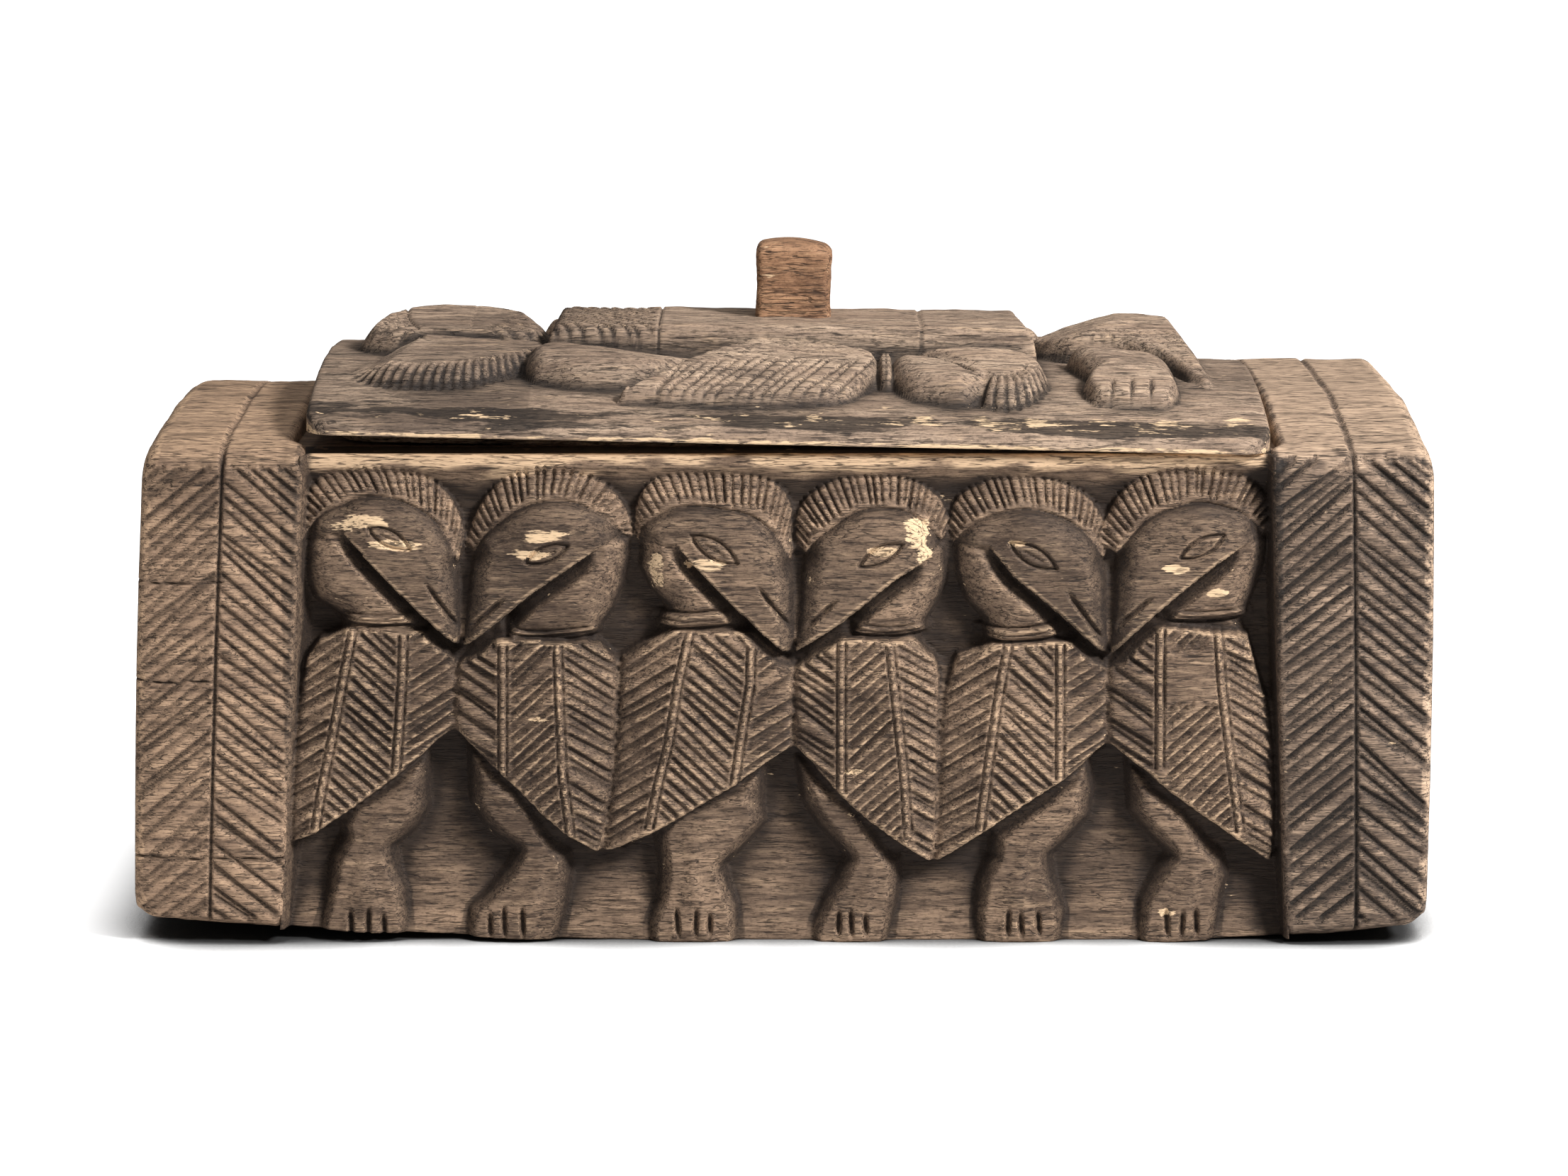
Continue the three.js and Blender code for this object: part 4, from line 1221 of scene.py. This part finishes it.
# Each form on the lid in the lid's own millimetres, X along it and Y away from the viewer: its outline, a
# place on its top with that place's height over the lid's underside, how the top slopes, how wide and how
# round its edge is, and planes (x, height, slope along X) that cut its top off. The bird of the long side
# is there twice, the second one turned half round
long_side_bird = {
    "leg": ([(-103, -33), (-104, -44), (-100, -53), (-91, -57), (-80, -60), (-66, -60), (-50, -55),
             (-36, -44), (-30, -34), (-60, -29), (-90, -28)],
            (-80, -36, 29.5), (0.0, 0.2), (8.0, 1.7), (-98, 30.5, -0.1)),
    "wing": ([(-66, -71), (-52, -73), (-35, -74), (-8, -73), (12, -71), (22, -67), (28, -60), (34, -48),
              (35, -38), (32, -32), (18, -29), (0, -27.5), (-16, -28), (-29, -36), (-42, -47), (-53, -59)],
             (0, -30, 32.0), (-0.02, 0.36), (3.6, 1.8)),
    "collar": ([(35, -34), (35, -51), (40.4, -52), (40.4, -34)], (37.5, -37, 28.2), (0, 0.3), (2.6, 2.0)),
    "neck": ([(40, -34), (40, -50), (46, -62), (56, -67), (67, -69), (76, -63), (82, -52), (74, -42),
              (60, -34)], (56, -38, 28.6), (-0.01, 0.2), (9.0, 1.8)),
    "head": ([(43, -32), (58, -28.5), (82, -27), (95, -31), (101, -39), (101.5, -47), (97, -59), (91, -67),
              (83, -70.5), (75, -69), (73, -62), (72, -54), (64, -44), (54, -38)],
             (80, -33, 30.5), (-0.02, 0.28), (5.5, 1.3)),
}
left_bird = {
    "leg": ([(-150, 30), (-152, 60), (-112, 62), (-110, 30)], (-130, 36, 29.0), (0, -0.3), (12.0, 2.1)),
    "wing": ([(-170, -10), (-171, 3), (-167, 17), (-156, 31), (-138, 38), (-114, 34), (-99, 20), (-93, 2),
              (-98, -10), (-122, -15), (-152, -17)], (-132, 17, 33.0), (0.0, 0.1), (6.0, 1.5),
             (-171, 26.2, 0.75), (-132, 34.4, -0.01), (-108, 33.4, -0.5)),
    "head": ([(-171, -44), (-168, -53), (-160, -58.5), (-146, -60.5), (-128, -59), (-116, -53), (-106, -44),
              (-97, -35), (-92.5, -27), (-97, -18), (-110, -14), (-126, -12), (-146, -12), (-158, -18),
              (-166, -31)], (-124, -50, 23.8), (0.01, 0.13), (5.2, 1.3), (-171, 15.5, 0.5)),
}
right_bird = {
    "leg": ([(113, -8), (114, -25), (119, -37), (130, -45), (146, -46), (152, -34), (146, -10)],
            (128, -18, 28.6), (-0.05, 0.1), (8.0, 1.8)),
    "foot": ([(115, -48), (117, -61), (123, -66), (140, -67), (148, -65), (152, -54), (151, -42),
              (145, -34), (134, -28), (121, -34)], (136, -50, 23.0), (-0.01, 0.22), (3.6, 1.5)),
    "wing": ([(97, 20), (103, 12), (112, 6), (122, 5), (132, 4), (141, -2), (149, -10), (155, -20),
              (159, -31), (163.5, -43), (167, -34), (167, -14), (165.5, 6), (162, 24), (154, 39), (140, 46),
              (122, 42), (107, 33), (98, 26)],
             (140, 18, 34.0), (0.0, 0.26), (3.2, 1.5),
             (97, 25.8, 0.27), (140, 35.4, 0.0), (153.5, 35.4, -1.2)),
    "neck": ([(112, 30), (110, 54), (150, 56), (152, 30)], (130, 36, 29.0), (0, -0.35), (12.0, 2.1)),
    "crest": ([(100, 48), (104, 60), (130, 64), (158, 58), (162, 46), (150, 44), (130, 48), (112, 44)],
              (130, 50, 24.0), (0, -0.25), (3.4, 2.1)),
}


def turned(points, sign):
    """The points as they are, or turned half round with a sign of -1."""
    return [(sign * x, sign * y) for x, y in points]


def rounded_in(relief, outline, edge, roundness):
    """0 outside an outline, rising to 1 over its rounded edge."""
    inside = within(relief.across, relief.up, outline)
    deep = np.where(inside, gap_to(relief.across, relief.up, outline, True), 0)
    return (1 - (1 - np.minimum(deep / edge, 1)) ** roundness) ** (1 / roundness) * inside


def raise_form(relief, form, sign=1):
    """Leave a form standing up to its own sloping top."""
    outline, (at_x, at_y, height), (slope_x, slope_y), (edge, roundness), *planes = form
    across, up = relief.across * sign, relief.up * sign
    top = np.minimum(height + slope_x * (across - at_x) + slope_y * (up - at_y), lid_top)
    for plane_x, plane_height, slope in planes:
        top = np.minimum(top, plane_height + slope * (across - plane_x))
    rise = rounded_in(relief, turned(curve(outline, 4, closed=True), sign), edge, roundness)
    stand = np.maximum(top - arch_at(up), 1.5) * rise
    soft = unit(np.minimum(relief.stand, stand) / 4)
    relief.stand = (relief.stand + stand + np.sqrt((relief.stand - stand) ** 2 + soft ** 2)) / 2


def teeth(relief, outer, inner, count, sign=1):
    """Short cuts between two lines, as on a crest."""
    outer, inner = curve(outer), curve(inner)
    for tooth in range(count):
        share = (tooth + 0.5) / count
        ends = [point_along(outer, share), point_along(inner, share)]
        relief.line(turned(ends, sign), 2.0, 1.7, fade=0.1)


def hatch(relief, outline, field, degrees, random, sign=1, pitch=lid_barb_pitch, depth=1.1):
    """Barbs in the part of an outline where the field holds."""
    between = lambda x, y: field(sign * x, sign * y)
    barbs(relief, turned(outline, sign), between, degrees, random, 1.0, pitch, 2.1, depth)


# The quills of the long side's and of the left bird's wing
long_side_shaft = curve([(-62, -62), (-40, -50), (-10, -43), (33, -41)])
left_shaft = curve([(-155, 30), (-154, 14), (-151, 0), (-146, -14)])
# Lines on the lid: width, depth and fade of the cut, then its points. First those of the long side's bird
bird_lines = [
    (1.5, 1.0, 0, long_side_shaft),
    (3.6, 3.2, 3, [(40, -33), (54, -38.5), (64, -44.5), (72, -55)]),
    (1.6, 1.5, 2, [(40.6, -31), (40.6, -54)]),
    (1.6, 1.5, 2, [(37.6, -31), (37.6, -54)]),
    (1.6, 1.5, 2, [(34.8, -31), (34.8, -54)]),
]
lid_lines = [
    (1.8, 1.4, 0, left_shaft),
    (1.2, 0.7, 0, [(-127, -8), (-127, 34)]),
    (3.6, 2.2, 8, [(103, 10.5), (112, 4.5), (122, 3.5), (131, 2.5), (140, -3), (148, -11), (154, -21),
                   (158, -32)]),
    (3.4, 2.4, 6, [(-164, -30), (-157, -17.5), (-146, -11.5), (-126, -11), (-110, -13.5), (-97, -18)]),
    (2.2, 2.0, 3, [(125, -66), (126, -52)]),
    (2.2, 2.0, 3, [(132.5, -66), (133.5, -52)]),
    (2.2, 2.0, 3, [(140, -66), (141, -52)]),
    (2.4, 2.2, 3, [(-138, 60), (-138, 50)]),
    (2.4, 2.2, 3, [(-131, 60), (-131, 50)]),
    (2.4, 2.2, 3, [(-124, 60), (-124, 50)]),
    (1.5, 1.4, 0, [(-51.5, -bar_half), (-51.5, bar_half)]),
    (1.5, 1.4, 0, [(52, -bar_half), (52, bar_half)]),
]
# The crests' outer and inner lines, and how many cuts run between them
long_side_crest = ([(73, -66), (80, -71), (89, -69.5), (97, -60), (102, -45)],
                   [(77, -58), (82, -57), (87, -55), (91, -51), (94, -43)], 9)
lid_crests = [
    ([(-172, -50), (-162, -59), (-146, -61.5), (-128, -60), (-115, -54), (-105, -44), (-96, -35)],
     [(-164, -46), (-157, -51.5), (-146, -54), (-130, -52.5), (-119, -47), (-110, -39), (-101, -30)], 21),
    ([(102, 56), (130, 62), (160, 56)], [(108, 47), (130, 50), (156, 46)], 15),
]


def score_lines(relief, lines, sign=1):
    for width, depth, fade, points in lines:
        relief.line(turned(points, sign), width, depth, fade)


def carve_lid():
    """The bar, the four birds and every cut on the lid's top."""
    columns = round(2 * lid_half_length / lid_cell[0])
    rows = round(2 * lid_half_depth / lid_cell[1])
    across = np.linspace(-lid_half_length, lid_half_length, columns + 1)[:, None]
    up = np.linspace(-lid_half_depth, lid_half_depth, rows + 1)[None, :]
    across, up = np.broadcast_arrays(across, up)
    relief = Relief(across, up, sum(lid_cell) / 2)
    random = np.random.default_rng(77)
    bar = [(bar_ends[0], -bar_half), (bar_ends[0] + 1, bar_half), (bar_ends[1] - 3, bar_half),
           (bar_ends[1] + 1, -bar_half)]
    bar_tall = bar_top + bar_slope * across - arch_at(up)
    relief.stand = rounded_in(relief, bar, bar_edge, bar_roundness) * bar_tall
    for bird in (left_bird, right_bird):
        for form in bird.values():
            raise_form(relief, form)
    wing = long_side_bird["wing"][0]
    under_shaft = lambda x, y: y < np.interp(x, *zip(*long_side_shaft)) - 2
    over_shaft = lambda x, y: y > np.interp(x, *zip(*long_side_shaft)) + 1
    for sign in (1, -1):
        for form in long_side_bird.values():
            raise_form(relief, form, sign)
        score_lines(relief, bird_lines, sign)
        hatch(relief, wing, under_shaft, 58, random, sign, 4.4, 1.5)
        hatch(relief, wing, over_shaft, -42, random, sign, 3.6, 0.5)
        teeth(relief, *long_side_crest, sign)
    score_lines(relief, lid_lines)
    for outer, inner, count in lid_crests:
        teeth(relief, outer, inner, count)
    shaft_x, shaft_y = zip(*left_shaft[::-1])
    beyond_shaft = lambda x, y: x < np.interp(y, shaft_y, shaft_x) - 1
    inner_field = lambda x, y: (x > -119 + 0.4 * y) & (y < 26)
    right_field = lambda x, y: (x + y > 126) & (y < 14)
    hatch(relief, left_bird["wing"][0], beyond_shaft, 40, random, pitch=3.2, depth=1.2)
    hatch(relief, left_bird["wing"][0], inner_field, -38, random, pitch=3.6)
    hatch(relief, right_bird["wing"][0], right_field, -62, random, pitch=3.4, depth=0.7)
    hatched = [(bar_ends[0] + 2, 1 - bar_half), (bar_ends[0] + 2, bar_half - 3), (-53, bar_half - 3),
               (-53, 1 - bar_half)]
    barbs(relief, hatched, lambda x, y: x < 0, -50, random, 0.6, 4.2, 2.6, 1.7)
    relief.close_gaps(1.9, 2.0)
    relief.stand += 0.4 * ripple(across, up, 0, 36, 91) + 0.2 * ripple(across, up, 0, 7, 92, 2.0)
    return relief


def build_lid():
    """The carved top, rounded at its edges and corners, with its sides down to the underside."""
    relief = carve_lid()
    surface = relief.surface()
    wide = blur(surface, dirt_and_shade_reach / relief.cell)
    shallow = blur(surface, wear_reach / relief.cell)
    # hollows, cuts and the low ground are painted darker, by dirt and by painted shade, the ground more so
    # at the left end; the steep sides are painted darker as shade
    deep = unit((wide - surface) / 4.0) * 0.65 + unit(relief.score / 1.3) * 0.6
    from_edge = lid_half_depth - np.abs(relief.up)
    near_edge = np.minimum(lid_half_length - np.abs(relief.across), from_edge)
    ground = unit(1 - surface / 3.0)
    deep = deep + ground * (0.2 + 0.15 * (relief.across < -100))
    deep = deep + 0.3 * steepness(relief) + 0.06
    # a dark skin lies in a band inside the edge, and wear has gone through it in places
    band_middle = 8.0
    patchy = 0.5 + 0.5 * ripple(relief.across, relief.up, 0, 60, 93)
    band = np.exp(-((from_edge - band_middle) / 7.0) ** 4)
    patina = ground * band * (0.56 + 0.3 * patchy) + 0.25 * (1 - band) * ground
    worn = unit((surface - shallow) / 1.1 - 0.2) * 0.35 + 0.15 * (1 - ground)
    toward_right = unit((relief.across + 40) / 160)
    off_band = from_edge - band_middle - 4 * toward_right
    bare = (0.34 + 0.2 * toward_right) * np.exp(-(off_band / 9.0) ** 2)
    rounding = 2.2
    share = unit(near_edge / rounding)
    top = arch_at(relief.up) + surface - rounding * (1 - np.sqrt(1 - (1 - share) ** 2))
    # the sides are a few more cells all round, which go down to the underside
    skirt = 4

    def padded(field):
        return np.pad(field, skirt, mode="edge")

    def past_edge(count):
        places = np.arange(count)
        return np.maximum(skirt - places, places - (count - 1 - skirt)).clip(0)

    x, y = padded(relief.across), padded(relief.up)
    down = np.maximum(past_edge(len(x))[:, None], past_edge(x.shape[1])[None, :]) / skirt
    z = padded(top) * (1 - down)
    # the four corners are rounded, seen from above
    core_x, core_y = lid_half_length - lid_corner, lid_half_depth - lid_corner
    off_x, off_y = np.maximum(np.abs(x) - core_x, 0), np.maximum(np.abs(y) - core_y, 0)
    far = np.hypot(off_x, off_y)
    shrink = np.where(far > 0, np.maximum(off_x, off_y) / np.maximum(far, 1e-9), 1)
    x = np.sign(x) * (np.minimum(np.abs(x), core_x) + off_x * shrink)
    y = np.sign(y) * (np.minimum(np.abs(y), core_y) + off_y * shrink)
    on_top = down == 0
    marks = {
        "deep": np.where(on_top, padded(deep), 0.3 * (1 - down)),
        "worn": np.where(on_top, padded(worn), 0.6 * down),
        "bare": np.where(on_top, padded(bare), 0.75 * (down > 0.4)),
        "patina": np.where(on_top, padded(patina), 0),
    }
    return sheet("lid_slab", lay_lid(x, y, z), marks)


def lay_lid(x, y, z):
    """Lid places, level and centred, to where the lid lies on the box."""
    turned_x = x * math.cos(lid_tilt) + z * math.sin(lid_tilt)
    turned_z = z * math.cos(lid_tilt) - x * math.sin(lid_tilt)
    lift = wall_top + lid_seat_gap + lid_half_length * math.sin(lid_tilt)
    return np.stack([turned_x + lid_shift, np.broadcast_to(y, turned_x.shape), turned_z + lift], axis=-1)


lid_slab = build_lid()
lid_wood = old_wood("lid_wood", (186, 161, 138), (150, 127, 108), (86, 71, 61), (28, 22, 19),
                    (222, 188, 152))

step_half = hollow_half - step_clear
step = box_mesh((-step_left, -step_half, -step_depth), (step_right, step_half, step_sunk))
round_edges(step, hollow_round, 6, lambda start, end: abs(start - end) > 5)
round_edges(step, step_edge_round, 2, lambda start, end: max(start, end) < -6)
for vert in step.verts:
    vert.co = lay_lid(*(np.array(vert.co) / MM)) * MM
lid_step = finish_mesh("lid_step", step, {"deep": 0.3, "worn": 0.2, "bare": 0.0})

# The finger grip
# It stands on the bar and is cut from the same slab, so its grain runs level too. Handling has rounded
# its edges and its top, and its waist is drawn in a little.
grip_middle = (1.25, 9.0)
grip_half = (15.2, 11.2)
grip_top = 66.0
grip_foot = 30.0
grip_round = 3.2
grip_crown, grip_crown_drop, grip_crown_lean = 1.4, (2.4, 1.4), 0.035
grip_waist, grip_flare = 0.035, 0.05
grip = bmesh.new()
bmesh.ops.create_cube(grip, size=2)
bmesh.ops.subdivide_edges(grip, edges=grip.edges, cuts=round(38 / FINE), use_grid_fill=True)
tall = grip_top - grip_foot
inner_half = np.array([grip_half[0] - grip_round, grip_half[1] - grip_round])
for vert in grip.verts:
    spot = np.array([vert.co.x * grip_half[0], vert.co.y * grip_half[1], (vert.co.z + 1) / 2 * tall])
    inner_spot = np.array([*np.clip(spot[:2], -inner_half, inner_half), min(spot[2], tall - grip_round)])
    off = spot - inner_spot
    length = np.linalg.norm(off)
    if length > 0:
        off *= np.abs(off).max() / length
    x, y, z = inner_spot + off
    drop = grip_crown_drop[0] * (x / grip_half[0]) ** 2 + grip_crown_drop[1] * (y / grip_half[1]) ** 2
    z += unit((z - tall + 10) / 10) * (grip_crown - drop - grip_crown_lean * x)
    drawn_in = grip_waist * math.sin(math.pi * unit((z - 6) / 24))
    waist = 1 - drawn_in + grip_flare * unit((8 - z) / 8)
    dent = 0.28 * ripple(x, y, z, 16, 61) + 0.12 * ripple(x, y, z, 4, 62, 2)
    x = x * waist * (1 + dent / 15) + grip_middle[0]
    y = y * waist * (1 + dent / 12) + grip_middle[1]
    vert.co = lay_lid(np.array(x), np.array(y), np.array(z + grip_foot)) * MM
finger_grip = finish_mesh("finger_grip", grip, {"deep": 0.12, "worn": 0.35, "bare": 0.12})

grip_wood = old_wood("handled_grip_wood", (186, 142, 108), (152, 113, 84), (80, 56, 42), (36, 25, 19),
                     (200, 162, 124))
for piece, wood in ((lid_slab, lid_wood), (lid_step, lid_wood), (finger_grip, grip_wood)):
    piece.data.materials.append(wood)
    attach(piece, "lid")
    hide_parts("lid")

# The studio
# A white floor under a white sky, a broad weak lamp above, a strong one in front to the right and the
# camera of the photograph.
white, black = (1, 1, 1, 1), (0, 0, 0, 1)
floor_white, floor_shadow = (0.86, 0.86, 0.86, 1), (0.02, 0.02, 0.02, 1)
floor_glow = 0.95
sky_light, sky_seen = 0.17, 1.0
box_middle = (0, 0, 0.1)
camera_place = (0.0009, -1.7318, 0.4708)
camera_dip = 11.35
floor_net = bmesh.new()
bmesh.ops.create_grid(floor_net, x_segments=2, y_segments=2, size=6)
floor_mesh = bpy.data.meshes.new("studio_floor")
floor_net.to_mesh(floor_mesh)
floor_net.free()
studio_floor = add_object("studio_floor", floor_mesh)
floor_finish = Finish("studio_floor_white")
floor_finish.feed("Roughness", 0.9)
camera_ray = floor_finish.node("ShaderNodeLightPath", {}, [], output="Is Camera Ray")
open_sky = floor_finish.node("ShaderNodeAmbientOcclusion", {"samples": 16}, {"Distance": 0.05}, output="AO")
# the floor's colour is painted dark where the box stands close over it, a painted contact shadow, and it
# glows white to the camera only away from the box
floor_tone = floor_finish.blend(open_sky.step(0.35, 0.8), floor_shadow, floor_white)
floor_finish.feed("Base Color", floor_tone)
glow = floor_finish.blend(camera_ray * open_sky.step(0.45, 0.95), black, white)
floor_finish.feed("Emission Color", glow)
floor_finish.feed("Emission Strength", floor_glow)
studio_floor.data.materials.append(floor_finish.material)

world = bpy.data.worlds.new("studio")
world.use_nodes = True
bpy.context.scene.world = world
world_nodes, world_links = world.node_tree.nodes, world.node_tree.links
light_path = world_nodes.new("ShaderNodeLightPath")
background = world_nodes["Background"]
strength = world_nodes.new("ShaderNodeMix")
strength.inputs[2].default_value = sky_light
strength.inputs[3].default_value = sky_seen
world_links.new(light_path.outputs["Is Camera Ray"], strength.inputs[0])
world_links.new(strength.outputs[0], background.inputs["Strength"])
background.inputs["Color"].default_value = white


def soft_lamp(name, place, size, power):
    """An area lamp turned to the middle of the box."""
    lamp = bpy.data.lights.new(name, "AREA")
    lamp.shape = "RECTANGLE"
    lamp.size, lamp.size_y = size
    lamp.energy = power
    holder = add_object(name, lamp)
    holder.location = place
    x, y, z = np.array(box_middle) - np.array(place)
    holder.rotation_euler = (math.atan2(math.hypot(x, y), -z), 0, math.atan2(x, -y) + math.pi)


soft_lamp("lamp_above", (0.1, -0.4, 1.7), (1.2, 0.8), 8)
soft_lamp("lamp_right", (1.45, -1.15, 1.5), (0.4, 0.4), 78)

camera_data = bpy.data.cameras.new("photo_camera")
camera_data.lens = 100
camera_data.sensor_width = 36
camera_data.clip_end = 50
camera = add_object("photo_camera", camera_data)
camera.location = camera_place
camera.rotation_euler = (math.radians(90 - camera_dip), 0, 0)
bpy.context.scene.camera = camera
bpy.context.scene.view_settings.view_transform = "Standard"
